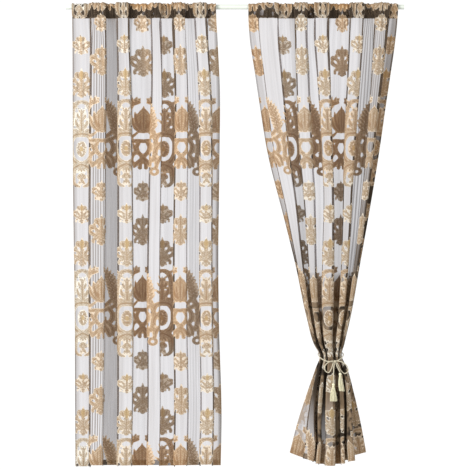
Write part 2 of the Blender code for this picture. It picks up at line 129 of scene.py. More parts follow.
RIGHT_FOLDS = (
    (0.046, 0.026, 0.0050, 0.066, 0.70, -0.30, 0.008, -0.002, 0.040, 0.55, 0.50, 0.70),
    (0.089, 0.060, 0.0065, 0.046, -0.80, -0.60, 0.004, 0.096, 0.080, 0.15, 0.45, 0.60),
    (0.080, 0.043, 0.0080, 0.016, 0.80, 0.90, 0.002, 0.208, 0.069, 0.25, 0.60, 0.90),
    (0.051, 0.051, 0.0085, 0.014, -1.00, -0.80, 0.012, 0.375, 0.051, 0.10, 0.30, 0.80),
    (0.039, 0.045, 0.0100, 0.026, 0.85, 0.90, 0.003, 0.465, 0.041, 0.25, 0.70, 0.60),
    (0.062, 0.041, 0.0210, 0.039, -1.00, -1.00, 0.011, 0.557, 0.056, 0.15, 0.35, 0.90),
    (0.100, 0.051, 0.0145, 0.032, 0.90, 1.00, 0.006, 0.733, 0.086, 0.48, 0.75, 0.80),
    (0.059, 0.039, 0.0090, 0.014, -0.90, -0.80, 0.016, 0.922, 0.053, 0.15, 0.40, 0.70),
    (0.055, 0.052, 0.0080, 0.018, 0.90, 0.95, 0.012, 1.025, 0.054, 0.35, 0.55, 0.90),
    (0.055, 0.026, 0.0070, 0.026, -0.95, -0.85, 0.012, 1.125, 0.047, 0.20, 0.30, 0.60),
    (0.048, 0.026, 0.0055, 0.058, 0.70, 0.30, 0.030, 1.315, 0.041, 0.50, 0.50, 0.80),
)
PATTERN_DROP = 0.45  # where a fold's face takes the cloth that its row gives
# Tucks that lie flat in a fold: fold, the share of its cloth where the tuck starts and ends, and
# the layers that it adds. Then the folds with a run of fine pleats, and how strong they are.
LEFT_TUCKS = (
    (0, 0.00, 0.16, 1.0), (2, 0.14, 0.86, 2.2), (3, 0.10, 0.45, 0.5), (4, 0.00, 0.26, 1.3),
    (4, 0.80, 0.98, 1.3), (6, 0.76, 1.00, 0.9), (7, 0.00, 0.30, 1.2), (8, 0.40, 0.62, 0.3),
    (10, 0.80, 1.00, 1.0),
)
RIGHT_TUCKS = (
    (0, 0.00, 0.40, 0.9), (2, 0.60, 0.95, 0.7), (3, 0.05, 0.25, 0.7), (5, 0.70, 0.95, 0.8),
    (6, 0.05, 0.20, 0.9), (7, 0.60, 1.00, 1.0), (8, 0.00, 1.00, 0.9), (9, 0.20, 1.00, 0.8),
    (10, 0.00, 1.00, 1.0), (10, 0.60, 1.00, 1.5),
)
LEFT_PLEATS = ((1, 1.35), (8, 0.2))
RIGHT_PLEATS = ((8, 0.9), (9, 0.8))
TUCK_EDGE = 0.04  # share of the fold's cloth over which a tuck starts
PLEAT_PITCH = 0.0104
LEAST_PLEATS = 0.1
CREASE_SHARPNESS = 9  # power by which a crease narrows towards the wall
# Painted shade: length of cloth over which the figures' shade eases from the palmettes' value to
# the band's
SHADE_EASE = 0.03  # length of cloth over which the palmettes' colour turns into the band's
LAYERS_IN_FLAT_FOLD = 2.1
MOST_LAYERS = 12.0
MOST_CROWDING = 8.0  # of the threads, against the flat cloth
# How many layers the tie adds, from which share of the gather, and how much of them is lost at the
# curtain's edges
GATHERED_LAYERS = 4.6
GATHER_START = 0.14
GATHERED_EDGE_LOSS = 0.8
# Where the tie gathers the cloth, the figures on the layers behind show through: those from this
# far across the cloth and this far down it, from one share of the gather to another
BEHIND_ACROSS = 0.170
BEHIND_DOWN = -0.006
BEHIND_GATHER = (0.08, 0.30)
BEHIND_EDGE = 4  # mm over which their outlines fade
TIED_CREAM = 0.6  # how much paler the figures are where the tie turns the folds to the light

# The cloth's grid
COLUMN_STEP = 0.0038  # across the cloth
ROW_STEP = 0.0042  # down the cloth, for the figures; the voile takes every second row
POCKET_LEG_ROWS = 8
POCKET_ARC_ROWS = 18
HEM_TURN = 0.026  # cloth turned up behind the hem
HEM_GAP = 0.0011  # between the hem's two layers
SEAM_HALF_WIDTH = 0.0035
SIDE_HEM = 9.0  # mm
MOTIF_RISE = 0.0006  # the figures' height over the voile
# A point of the grid moves onto a figure's outline if it is nearer than this share of a cell's
# diagonal, and it moves by at most this share of a cell
SNAP_SHARE = 0.62
SLOPE_STEP = 0.0007  # to either side of a point, to find the chart's slope
LEAST_SLOPE_SQUARED = 0.3
# Limits of what a point keeps: how far it is inside its figure, and inside the gold
INSIDE_LIMITS = (0, 0.02)
GOLD_LIMITS = (-0.002, 0.004)
# Above the seam the leaves hang lower than in the rest of the repeat: from this far down the cloth,
# by this much, in the part of the repeat that is further from the medallions' axis than this
POCKET_CUT = -0.030
POCKET_SKIP = 0.046
POCKET_LEAVES_FROM = 105  # mm
RIB_PITCH = 0.0115  # between the ribs of yarn in the figures

# Fine gathers: wavelength across the cloth, share of the height, and lean as the cloth falls
GATHERS = ((0.0215, 1.0, 1.3), (0.034, 0.9, -0.8), (0.0137, 0.45, 2.1), (0.061, 0.8, 0.5))
GATHER_LEAN = 3  # what multiplies the lean, in radians for each metre down the cloth
GATHER_PHASE = 1.7  # between one wave and the next
GATHER_HEIGHT = 0.0016
GATHER_FADE = 0.30  # length of cloth down which the height falls to a third
GATHER_LEAST = 0.0004
GATHER_EASE = 0.02  # length of cloth over which they start, above and below the seam
POCKET_WAVE = (1.2, 0.6)  # there the waves stand out from the rod: their middle and their height

# -------------------------------------------------- the damask's repeat

REPEAT_ACROSS = 0.375
REPEAT_DOWN = 0.781
CHART_CELL = 0.001
STROKE_STEP = 1.6  # mm between a stroke's discs
STROKE_MARGIN = 12  # mm above and below a stroke for which the chart knows the distance to it
OUTSIDE = -99.0

# Strokes are rows of across, down and radius in mm. A palmette is 100 mm tall, about its middle.
PALMETTE_BODY = (
    ((0, -36, 4.0), (0, -24, 10.0), (0, -6, 15.0), (0, 12, 17.0), (0, 28, 11.0)),
    ((10, 4, 12.0), (24, -2, 14.0)),
)
PALMETTE_LEAVES = (
    ((0, 24, 8.0), (0, 34, 5.5), (0, 42, 7.4)),
    ((8, 24, 5.0), (18, 26, 5.0), (25, 31, 4.6), (25, 38, 4.4)),
    ((3, 32, 4.0), (9, 36, 4.0), (12, 41, 3.4)),
    ((5, 24, 5.0), (16, 15, 8.0), (27, 9, 9.0), (33, 5, 8.6)),
    ((5, 18, 4.0), (17, 4, 8.0), (26, -5, 9.6), (32, -8, 9.4)),
    ((3, 20, 3.5), (10, 4, 6.5), (17, -10, 6.4), (20, -18, 5.6)),
    ((2, 16, 3.0), (6, -4, 5.5), (11, -22, 8.6), (13, -29, 9.4)),
    ((0, 34, 2.5), (0, 14, 5.0), (0, -10, 5.5), (0, -30, 6.4), (0, -41, 3.6), (0, -50, 0.8)),
)
PALMETTE_HOLES = (
    ((14.6, -16, 2.3), (12, -11, 3.4), (9.4, -5, 1.6)),
    ((27.5, -0.5, 2.2), (23, 3.5, 3.4), (18.2, 8, 1.5)),
)
MEDALLION_COLUMN, LEAF_COLUMN = range(2)
# Column, down, height and share of the full width of each palmette in a repeat
PALMETTES = (
    (LEAF_COLUMN, 20, 98, 1.0), (MEDALLION_COLUMN, 124, 96, 1.05),
    (LEAF_COLUMN, 200, 146, 0.92), (MEDALLION_COLUMN, 302, 138, 0.92),
)
BAND_DOWN = (0.372, 0.735)
# The band under them, from each column's own axis
MEDALLION_STROKES = (
    (
        (0, 388, 8), (14, 391, 10), (26, 402, 11), (34, 422, 10), (38, 450, 10), (42, 480, 11),
        (44, 506, 11), (42, 526, 11),
    ),
    ((24, 400, 7), (37, 394, 6), (47, 382, 2)),
    ((32, 428, 7), (47, 424, 7), (58, 411, 2.4)),
    ((34, 458, 8), (52, 455, 7), (64, 443, 2.6)),
    ((38, 490, 9), (56, 487, 7), (70, 474, 2.6)),
    ((0, 446, 4), (9, 430, 5), (14, 418, 3)),
    ((5, 474, 4), (14, 456, 6), (17, 438, 3)),
    ((0, 514, 9), (14, 502, 9), (22, 486, 7), (24, 466, 3)),
    ((0, 416, 1.5), (0, 434, 6), (0, 464, 9), (0, 492, 10), (0, 522, 14)),
    ((14, 528, 9), (26, 520, 8)),
    ((52, 534, 7), (68, 545, 10), (77, 564, 9), (74, 580, 5)),
    ((54, 580, 8), (70, 596, 10), (78, 618, 9), (74, 636, 5)),
    ((48, 640, 8), (62, 654, 10), (72, 674, 9), (72, 692, 5)),
    ((20, 676, 8), (34, 690, 9), (50, 694, 5)),
    (
        (0, 536, 14), (27, 541, 13.5), (43, 564, 13), (47, 604, 13), (42, 640, 13),
        (27, 666, 14), (0, 678, 14),
    ),
    (
        (0, 678, 14), (20, 686, 14), (36, 700, 15), (39, 718, 15.5), (39, 736, 14), (37, 751, 11),
        (33, 764, 8.5), (23, 775, 7), (9, 780, 5),
    ),
    ((0, 690, 8), (0, 708, 5), (0, 722, 4)),
    ((3, 694, 6), (11, 704, 5.5), (14, 714, 3)),
    ((2, 750, 6), (8, 760, 6), (13, 771, 3)),
    ((0, 740, 8), (0, 756, 5), (0, 772, 1)),
    ((3, 722, 5), (9, 734, 10), (10, 736, 10)),
)
LEAF_STROKES = (
    ((98, 528, 10), (107, 562, 10), (110, 600, 10), (106, 636, 10), (98, 662, 7)),
    ((104, 640, 7), (112, 662, 8), (112, 688, 7)),
    ((0, 412, 2), (0, 426, 9), (0, 446, 22), (0, 474, 32), (0, 500, 32), (0, 514, 18)),
    ((14, 526, 6), (33, 504, 10), (46, 478, 8), (50, 452, 2.4)),
    ((6, 522, 5), (19, 494, 10), (29, 464, 9), (33, 436, 2.4)),
    ((0, 408, 1.5), (0, 428, 6), (0, 462, 10), (0, 494, 10), (0, 528, 5)),
    ((84, 520, 8), (66, 540, 9), (50, 548, 8), (32, 538, 6), (22, 528, 4)),
    ((96, 548, 8), (76, 562, 9), (50, 570, 9), (24, 568, 9), (0, 570, 9)),
    ((70, 562, 9), (84, 586, 10), (84, 612, 11), (70, 630, 10), (56, 622, 8), (56, 606, 6)),
    ((18, 578, 8), (26, 598, 9), (21, 617, 9), (10, 634, 9), (0, 646, 10)),
    ((12, 630, 9), (26, 618, 9), (36, 600, 8), (42, 584, 5)),
    ((30, 622, 8), (46, 636, 11), (50, 658, 10), (40, 678, 9)),
    ((52, 640, 8), (64, 662, 11), (74, 688, 9)),
    ((74, 634, 8), (86, 656, 9), (88, 684, 7)),
    ((0, 648, 9), (14, 661, 9), (27, 674, 9), (37, 686, 8)),
    ((3, 662, 6), (10, 677, 7), (12.5, 693, 8.6)),
)
# Painted shadow: dark grooves between the pointed leaf's lobes
LEAF_GROOVES = (
    ((7, 518, 1.4), (12, 492, 2.6), (14, 462, 2.0), (11, 436, 0.8)),
    ((16, 512, 1.4), (26, 492, 2.4), (31, 468, 1.6), (31, 450, 0.8)),
)
RING = (82, 712, 13.5, 6.5)  # from the medallions' axis: across, down, radius and half thickness
# The feathered leaf, from the leaves' axis: its rib, the share of the rib's radius that its vein
# takes, and its leaflets' number a side, reach past the rib's edge on each side, turn from the way
# back up the rib, and radius at some shares of their length
FEATHER_RIB = (
    (15, 384, 3), (28, 386, 7), (50, 396, 10), (68, 420, 12), (80, 452, 13), (88, 488, 13),
    (94, 530, 11),
)
FEATHER_VEIN = 0.28
FEATHER_LEAFLETS = 12
FEATHER_REACH = ((-1, 15), (1, 9))
FEATHER_TURN = 0.8
FEATHER_LEAFLET = ((0, 5.0), (0.6, 5.2), (1, 0.9))
# The rosette's petals: half width and half height of the ellipse that their roots and then their
# tips are on, and their radius there
ROSETTE_DOWN = 606
ROSETTE_PETALS = 18
ROSETTE_ROOT, ROSETTE_TIP = (8, 14, 3.0), (19, 33.5, 4.8)
ROSETTE_HEART = ((0, -5, 7), (0, 5, 7))
GOLD_BUD = ((0, -45, 1.0), (0, -37, 5.0), (0, -27, 7.5), (0, -17, 4.0), (0, -8, 1.0))

# -------------------------------------------------- the tie, as in the CAD part

CORD_RADIUS = 0.0024
BAND_CENTRE = Vector((0.4415, 0.0, -1.601))
BAND_HALF_WIDTH = 0.0580
BAND_HALF_DEPTH = 0.0590
BAND_SAG = 0.031
BAND_BACK_RISE = 0.25
BAND_STEPS = 480
PLY_PITCH = 0.019
PLY_OVERLAP = 1.04  # how much thicker a ply is than one that only touches the next
CORD_STEP = 0.0008
KNOT_X = 0.4562
KNOT_SIZE = (0.016, 0.010, 0.014)
KNOT_CORD_RADIUS = 0.0021
KNOT_PITCH = 0.015
KNOT_TURNS = 2.6
KNOT_STEPS = 240
KNOT_SPREAD = 0.98  # of the knot's width that its turns take
KNOT_TAPER = 0.25  # of their size that the outer turns lose
KNOT_INSETS = (0.0012, 0.0016)  # of the turns' centre line from the knot's face and from its top
GAP = 0.0004
ROUTES = {
    "bow_loop_right": (
        (0.0090, 0.0010, 0.0030), (0.0200, 0.0060, 0.0020), (0.0400, 0.0110, -0.0060),
        (0.0560, 0.0110, -0.0240), (0.0580, 0.0100, -0.0440), (0.0440, 0.0090, -0.0540),
        (0.0280, 0.0090, -0.0420), (0.0160, 0.0080, -0.0210), (0.0085, 0.0040, -0.0045),
    ),
    "bow_loop_left": (
        (-0.0090, 0.0010, 0.0030), (-0.0190, 0.0050, 0.0020), (-0.0370, 0.0090, -0.0070),
        (-0.0480, 0.0100, -0.0240), (-0.0440, 0.0095, -0.0430), (-0.0300, 0.0090, -0.0490),
        (-0.0190, 0.0085, -0.0350), (-0.0130, 0.0080, -0.0190), (-0.0085, 0.0040, -0.0045),
    ),
    "tail_long": (
        (-0.0030, 0.0040, -0.0078), (-0.0055, 0.0090, -0.0210), (-0.0075, 0.0135, -0.0460),
        (-0.0085, 0.0170, -0.0720), (-0.0090, 0.0200, -0.0960),
    ),
    "tail_short": (
        (0.0040, 0.0060, -0.0075), (0.0075, 0.0130, -0.0190), (0.0150, 0.0185, -0.0340),
        (0.0220, 0.0205, -0.0480),
    ),
}
TASSELS = {
    "tassel_long": {"route": "tail_long", "length": 0.083, "foot": 0.036, "swing": 0.002},
    "tassel_short": {"route": "tail_short", "length": 0.084, "foot": 0.026, "swing": 0.008},
}
TASSEL_HEAD_RADIUS = 0.0062
TASSEL_HEAD_LENGTH = 0.017
TASSEL_HEAD_PROFILE = (
    (0.02, 0.0), (0.35, 0.01), (0.62, 0.06), (0.80, 0.14), (0.96, 0.26), (1.0, 0.36), (0.96, 0.48),
    (0.84, 0.59), (0.66, 0.68), (0.60, 0.74), (0.70, 0.82), (0.82, 0.92), (0.80, 1.0), (0.4, 1.02),
    (0.02, 1.02),
)
HEAD_STEP = 0.03
HEAD_SIDES = 110
HEAD_RIBS = 22
HEAD_RIB_HEIGHT = 0.045  # as a share of the radius
NECK_WRAP = {"at": 0.70, "radius": 0.0042, "rise": 0.0011, "turns": 3, "steps": 150}
NECK_CORD = {"radius": 0.0007, "plies": 2, "pitch": 0.003, "sides": 6}
STRANDS, STRAND_RINGS, STRAND_SIDES = 150, 9, 5
STRAND_RADIUS = 0.00055
STRAND_ROOT_DEPTH = 0.88  # as a share of the head's length
STRAND_ROOT_SPREAD = 0.66  # of the head's radius
STRAND_FOOT_MARGIN = 0.0008
STRAND_BELLY = 0.0022
STRAND_WAVE = 0.0005
STRAND_UNEVEN = 0.0035  # how far the tips are from level
STRAND_TEXTURE = 0.002  # length of texture for a radian round a strand

# What each curtain is made from, as Drape takes it
CURTAINS = {
    "left": (
        LEFT_OUTLINE, LEFT_FOLDS, LEFT_FOLD_HEIGHTS, MEDALLION_COLUMN, LEFT_TUCKS, LEFT_PLEATS,
    ),
    "right": (
        RIGHT_OUTLINE, RIGHT_FOLDS, RIGHT_FOLD_HEIGHTS, LEAF_COLUMN, RIGHT_TUCKS, RIGHT_PLEATS,
    ),
}

FLOOR_SIDES = 96
# Each light's name, place, what it points at, size, and share of the key light's power
LIGHTS = (
    ("key", (-3.6, -2.6, 0.2), (-0.1, 0, -1.0), 1.6, 1.0),
    ("fill", (2.4, -4.2, 0.4), (0, 0, -1.0), 2.4, 0.25),
)


# -------------------------------------------------- shared shapes and curves

def smooth_lookup(heights, values, at):
    """Cubic curve through a table: each stretch leaves and meets its points at the slope between
    the points on either side."""
    heights, values = np.asarray(heights, float), np.asarray(values, float)
    slopes = np.gradient(values, heights)
    at = np.clip(at, heights[0], heights[-1])
    k = np.clip(np.searchsorted(heights, at) - 1, 0, len(heights) - 2)
    step = heights[k + 1] - heights[k]
    t = (at - heights[k]) / step
    from_start = (1 + 2 * t) * (1 - t) ** 2 * values[k] + t * (1 - t) ** 2 * step * slopes[k]
    from_end = t * t * (3 - 2 * t) * values[k + 1] - t * t * (1 - t) * step * slopes[k + 1]
    return from_start + from_end


def smooth_route(points, spacing):
    """Points an even spacing apart on the smooth curve through a route's own points."""
    points = np.asarray(points, float)
    steps = np.linalg.norm(np.diff(points, axis=0), axis=1)
    along = np.concatenate([[0], np.cumsum(steps)])
    at = np.linspace(0, along[-1], max(2, round(along[-1] / spacing) + 1))
    return np.column_stack([smooth_lookup(along, column, at) for column in points.T])


def ramp(t, rounding):
    """0 below zero and t above it, with the corner between rounded over +-rounding."""
    corner = (t + rounding) ** 2 / (4 * rounding)
    return np.where(t < -rounding, 0.0, np.where(t > rounding, t, corner))


def unit(vectors):
    """Vectors over their lengths."""
    return vectors / np.maximum(np.linalg.norm(vectors, axis=-1, keepdims=True), 1e-12)


def grid_faces(rows, columns, closed_rows=False, closed_columns=False, start=0):
    """Quads of a grid of vertices that is numbered row by row."""
    r = np.arange(rows if closed_rows else rows - 1)[:, None]
    c = np.arange(columns if closed_columns else columns - 1)[None, :]
    here, below, right = r * columns, (r + 1) % rows * columns, (c + 1) % columns
    quads = np.stack([here + c, below + c, below + right, here + right], axis=-1)
    return start + quads.reshape(-1, 4)


def tube_faces(count, rings, sides, closed=False, turned=False):
    """Faces of tubes that are numbered one after the other, ring by ring: each one's sides, and a
    cap at either end unless it closes on itself. They face the other way if they are turned."""
    faces = []
    step = 1 if turned else -1
    for first in range(0, count * rings * sides, rings * sides):
        wall = grid_faces(rings, sides, closed_rows=closed, closed_columns=True, start=first)
        faces += wall[:, ::step].tolist()
        if not closed:
            last = first + (rings - 1) * sides
            faces.append(list(range(first, first + sides))[::-step])
            faces.append(list(range(last, last + sides))[::step])
    return faces


def new_piece(name, points, faces, uv, material, floats=None):
    """A smooth mesh object that rides on the part, with a UV for each point, and float attributes
    where they are given."""
    mesh = bpy.data.meshes.new(name)
    mesh.from_pydata(points.reshape(-1, 3).tolist(), [], faces)
    mesh.shade_smooth()
    corners = np.empty(len(mesh.loops), np.int32)
    mesh.loops.foreach_get("vertex_index", corners)
    mesh.uv_layers.new(name="cloth").data.foreach_set("uv", uv.reshape(-1, 2)[corners].ravel())
    for key, values in (floats or {}).items():
        mesh.attributes.new(key, "FLOAT", "POINT").data.foreach_set("value", values.ravel())
    mesh.materials.append(material)
    piece = bpy.data.objects.new(name, mesh)
    bpy.context.scene.collection.objects.link(piece)
    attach(piece, "root")
    return piece


# -------------------------------------------------- the damask

def stroke_points(points):
    """Discs a step apart along the smooth line through a stroke's own, their radii smooth too."""
    return smooth_route(points, STROKE_STEP)


class Chart:
    """One repeat of the damask, folded at both mirror axes.

    Cell values are mm inside the pattern's outline (below zero outside it), mm inside the stroke
    that lies on top there, mm inside its gold parts, and how near that stroke's middle line the
    cell is, from 0 at its edge to 1.
    """

    def __init__(self):
        self.half = REPEAT_ACROSS / 2 / MM
        self.u = np.arange(round(self.half) + 1.0)
        self.rows = round(REPEAT_DOWN / CHART_CELL)
        shape = (self.rows, len(self.u))
        self.depth, self.own, self.gold = (np.full(shape, OUTSIDE) for _ in range(3))
        self.vein = np.zeros(shape)

    def inside(self, column, points):
        """The rows that a stroke reaches, and how far inside it each of their cells is: the most,
        over its discs and their mirror images, of radius less distance. Then the same as a share
        of the radius."""
        discs = stroke_points(points)
        discs = np.concatenate([discs, discs * (-1, 1, 1)])
        if column == LEAF_COLUMN:
            discs = discs * (-1, 1, 1) + (self.half, 0, 0)
        x, y, radius = discs.T
        first, last = math.floor((y - radius).min()), math.ceil((y + radius).max())
        rows = np.arange(first - STROKE_MARGIN, last + STROKE_MARGIN)
        x, y, radius = (values[:, None, None] for values in (x, y, radius))
        away = np.hypot(rows[None, :, None] - y, self.u[None, None, :] - x)
        return rows % self.rows, (radius - away).max(axis=0), (1 - away / radius).max(axis=0)

    def add(self, column, points, gold=False):
        """A stroke on top of what is there."""
        rows, found, middle = self.inside(column, points)
        self.depth[rows] = np.maximum(self.depth[rows], found)
        self.own[rows] = np.where(found > 0, found, self.own[rows])
        self.vein[rows] = np.where(found > 0, middle, self.vein[rows])
        if gold:
            self.gold[rows] = np.maximum(self.gold[rows], found)

    def cut(self, column, points):
        """An opening through what is there."""
        rows, found, _ = self.inside(column, points)
        self.depth[rows] = np.minimum(self.depth[rows], -found)
        self.own[rows] = np.minimum(self.own[rows], -found)

    def shade(self, column, points):
        """Painted shadow: dark marks in what is there, which the material gives the figures' shadow
        colour.
        """
        rows, found, _ = self.inside(column, points)
        self.vein[rows] = np.where(found > 0, 1, self.vein[rows])

    def feather(self):
        """A leaf with pointed leaflets, which leave its rib on both sides and lean back up it. The
        first ones are shorter."""
        rib = stroke_points(FEATHER_RIB)
        turn = np.arctan2(*np.gradient(rib[:, :2], axis=0).T[::-1])
        self.add(LEAF_COLUMN, FEATHER_RIB)
        for k in reversed(range(FEATHER_LEAFLETS)):
            i = round((k + 0.5) / FEATHER_LEAFLETS * (len(rib) - 1))
            x, y, radius = rib[i]
            for side, reach in FEATHER_REACH:
                length = (radius + reach * min(1, 0.5 + k / 4)) / math.sin(FEATHER_TURN)
                lean = turn[i] + math.pi - side * FEATHER_TURN
                dx, dy = math.cos(lean) * length, math.sin(lean) * length
                self.add(LEAF_COLUMN, [
                    (x + share * dx, y + share * dy, wide) for share, wide in FEATHER_LEAFLET
                ])
        self.add(LEAF_COLUMN, rib * (1, 1, FEATHER_VEIN))

    def rosette(self):
        """A flower of round-ended petals on an ellipse about a gold heart."""
        x, y, _ = ROSETTE_TIP
        self.add(MEDALLION_COLUMN, [(0, ROSETTE_DOWN - y + x, x), (0, ROSETTE_DOWN + y - x, x)])
        for k in range(ROSETTE_PETALS // 2 + 1):
            turn = math.tau * k / ROSETTE_PETALS
            self.add(MEDALLION_COLUMN, [
                (x * math.sin(turn), ROSETTE_DOWN - y * math.cos(turn), radius)
                for x, y, radius in (ROSETTE_ROOT, ROSETTE_TIP)
            ])
        heart = [(x, ROSETTE_DOWN + y, radius) for x, y, radius in ROSETTE_HEART]
        self.add(MEDALLION_COLUMN, heart, gold=True)

    def ring(self):
        """A round eyelet of yarn."""
        across, down, radius, thick = RING
        self.add(MEDALLION_COLUMN, [
            (across + radius * math.cos(turn), down + radius * math.sin(turn), thick)
            for turn in np.linspace(0, math.tau, 13)
        ])

    def palmettes(self):
        """Each row of palmettes, with gold buds in the medallions' column."""
        for column, down, height, width in PALMETTES:
            size = height / 100

            def placed(points):
                return [
                    (x * size * width, down + y * size, radius * size) for x, y, radius in points
                ]

            for points in PALMETTE_BODY + PALMETTE_LEAVES:
                self.add(column, placed(points))
            if column == MEDALLION_COLUMN:
                self.add(column, placed(GOLD_BUD), gold=True)
            for points in PALMETTE_HOLES:
                self.cut(column, placed(points))

    def finish(self):
        """The whole repeat, with later figures over earlier ones."""
        for points in LEAF_STROKES:
            self.add(LEAF_COLUMN, points)
        for points in MEDALLION_STROKES:
            self.add(MEDALLION_COLUMN, points)
        for points in LEAF_GROOVES:
            self.shade(LEAF_COLUMN, points)
        self.feather()
        self.ring()
        self.rosette()
        self.palmettes()
        return self

    def at(self, field, across, down):
        """A field in metres at places on the cloth, between the four cells round each."""
        period = REPEAT_ACROSS / MM
        u = abs((across / MM + period / 2) % period - period / 2)
        moved = (down < POCKET_CUT) & (u > POCKET_LEAVES_FROM)
        v = np.where(moved, down - POCKET_SKIP, down) / MM % self.rows
        i, j = np.floor(v).astype(int), np.minimum(np.floor(u).astype(int), len(self.u) - 2)
        below, fv, fu = (i + 1) % self.rows, v - i, u - j
        grid = getattr(self, field)
        top = grid[i, j] * (1 - fu) + grid[i, j + 1] * fu
        low = grid[below, j] * (1 - fu) + grid[below, j + 1] * fu
        return (top * (1 - fv) + low * fv) * MM


# -------------------------------------------------- the hanging cloth

class Drape:
    """The folded form of one curtain: where each thread of its cloth is at each height."""

    def __init__(self, outline, folds, fold_heights, first_column, tucks, pleats):
        self.tucks, self.pleats = tucks, pleats
        self.outline = {c: [row[i] for row in outline] for i, c in enumerate(OUTLINE_COLUMNS)}
        self.folds = {c: np.array([row[i] for row in folds]) for i, c in enumerate(FOLD_COLUMNS)}
        self.fold_heights = fold_heights
        self.count = len(folds)
        self.spread(first_column)

    def at(self, column, drop):
        """The outline's value in one of its columns, at each drop."""
        return smooth_lookup(self.outline["drop"], self.outline[column], drop)

    def spread(self, first_column):
        """Threads an even step apart across the cloth, and the fold and place of each. A fold's
        face takes the cloth that its row gives, and what is between two faces is in the wall."""
        every = np.arange(self.count)
        edges, levels = self.faces(np.array([PATTERN_DROP]))
        width, level = np.diff(edges[:, 0]), levels[:, 0]
        rise = abs(np.diff(level)) / 2
        before, after = np.concatenate([[0], rise]), np.concatenate([rise, [0]])
        cloth = width + before + after
        wall_0, wall_1 = (np.maximum(side / cloth, LEAST_WALL_SHARE) for side in (before, after))
        starts = self.folds["across"] - self.folds["face"] / 2
        ends = self.folds["across"] + self.folds["face"] / 2
        places = np.column_stack([every + wall_0, every + 1 - wall_1]).ravel()
        lies = np.column_stack([starts, ends]).ravel()
        places[0], places[-1] = 0, self.count
        count = round((lies[-1] - lies[0]) / COLUMN_STEP) + 1
        self.across = np.linspace(lies[0], lies[-1], count)
        along = np.interp(self.across, lies, places)
        self.fold = np.minimum(np.floor(along).astype(int), self.count - 1)
        self.place = along - self.fold
        self.walls = wall_0[self.fold], wall_1[self.fold]
        self.from_axis = self.across + (REPEAT_ACROSS / 2 if first_column == LEAF_COLUMN else 0)

    def faces(self, drop):
        """Left edge of each fold and the last right edge, and each face's level, for each drop."""
        table = np.array([self.folds[c] / sum(self.folds[c]) for c in WIDTH_COLUMNS])
        widths = np.array([smooth_lookup(self.fold_heights, own, drop) for own in table.T])
        left, right = self.at("left", drop), self.at("right", drop)
        shares = np.concatenate([np.zeros_like(widths[:1]), np.cumsum(widths, axis=0)])
        edges = left + (right - left) * shares / shares[-1]
        blend = np.interp(drop, (self.fold_heights[0], self.fold_heights[-1]), (0.0, 1.0))
        upper, hem = self.folds["upper_level"][:, None], self.folds["hem_level"][:, None]
        levels = upper * (1 - blend) + hem * blend
        off_centre = abs(edges - (left + right) / 2) / ((right - left) / 2)
        outer = np.minimum(np.maximum(off_centre[:-1], off_centre[1:]), ROUNDEST)
        roundness = np.sqrt(1 - outer**2)
        gather = self.at("gather", drop)
        levels = levels * (1 - gather) + np.sign(levels) * roundness * gather
        return edges, levels * self.at("depth", drop) / 2

    def section(self, drop):
        """Across and depth of each thread at the drop given for it, and its crown: 0 in the walls
        and 1 at the middle of a face. The section is straight along each wall and each face, with
        rounded corners, as in the CAD part."""
        fold, place, last = self.fold, self.place, self.count - 1
        edges, levels = self.faces(drop)
        pick = np.arange(len(fold))
        x0, x1 = edges[fold, pick], edges[fold + 1, pick]
        level = levels[fold, pick]
        before = np.where(fold > 0, levels[np.maximum(fold - 1, 0), pick], level)
        after = np.where(fold < last, levels[np.minimum(fold + 1, last), pick], level)
        width = x1 - x0
        cloth = width + (abs(level - before) + abs(level - after)) / 2
        wall_0 = np.maximum(abs(level - before) / 2 / cloth, LEAST_WALL_SHARE)
        wall_1 = np.maximum(abs(level - after) / 2 / cloth, LEAST_WALL_SHARE)
        face = 1 - wall_0 - wall_1
        round_0 = CORNER_SHARE * np.minimum(wall_0, face / 2)
        round_1 = CORNER_SHARE * np.minimum(wall_1, face / 2)
        overlap = np.minimum(FOLD_OVERLAP, OVERLAP_SHARE * width)
        over_0 = np.where(fold > 0, overlap, 0.0)
        over_1 = np.where(fold < last, overlap, 0.0)
        turn_0 = ramp(place - wall_0, round_0)
        turn_1 = ramp(place - (1 - wall_1), round_1)
        back_0, back_1 = -over_0 / wall_0, -over_1 / wall_1
        along = (width + over_0 + over_1) / face
        across = x0 + back_0 * place + (along - back_0) * turn_0 + (back_1 - along) * turn_1
        rise_0 = (level - before) / 2 / wall_0
        rise_1 = (after - level) / 2 / wall_1
        depth = (level + before) / 2 + rise_0 * place - rise_0 * turn_0 + rise_1 * turn_1
        over_face = np.clip((turn_0 - turn_1) / face, 0, 1)
        crown = 4 * over_face * (1 - over_face)
        return across, depth + FOLD_BOW * level * crown, crown

    def hang(self, lengths):
        """The cloth below the seam: one row for each length of cloth. Every thread keeps its
        length, so where it leans the cloth below it hangs higher."""
        lift = self.folds["lift"][self.fold]
        drop = np.full(len(self.fold), SEAM_DROP)
        x, y, crown = self.section(drop)
        rows, crowns = [np.column_stack([x, y, -drop])], [crown]
        for above, below in zip(lengths, lengths[1:]):
            step = below - above
            guess = drop + step
            for _ in range(HANG_PASSES):
                x1, y1, crown = self.section(guess)
                lean = (x1 - x) ** 2 + (y1 - y) ** 2
                guess = drop + np.sqrt(np.maximum(step**2 - lean, (LEAST_FALL * step) ** 2))
            drop, x, y = guess, x1, y1
            late = np.clip((below / CLOTH_BELOW_SEAM - LIFT_START) / (1 - LIFT_START), 0, 1)
            rows.append(np.column_stack([x, y, lift * late**2 - drop]))
            crowns.append(crown)
        return np.array(rows), np.array(crowns)

    def pocket(self, seam):
        """Rows of the pocket from the seam up its back, over the rod and down its front."""
        x, wave, crown = self.section(np.zeros(len(self.fold)))
        side = ROD_RADIUS + POCKET_SIDE_GAP + self.at("depth", 0.0) / 2
        front, back = side - wave, side + wave
        top = ROD_RADIUS + POCKET_TOP_GAP + GATHER_BUMP * np.clip(-wave / abs(wave).max(), 0, 1)

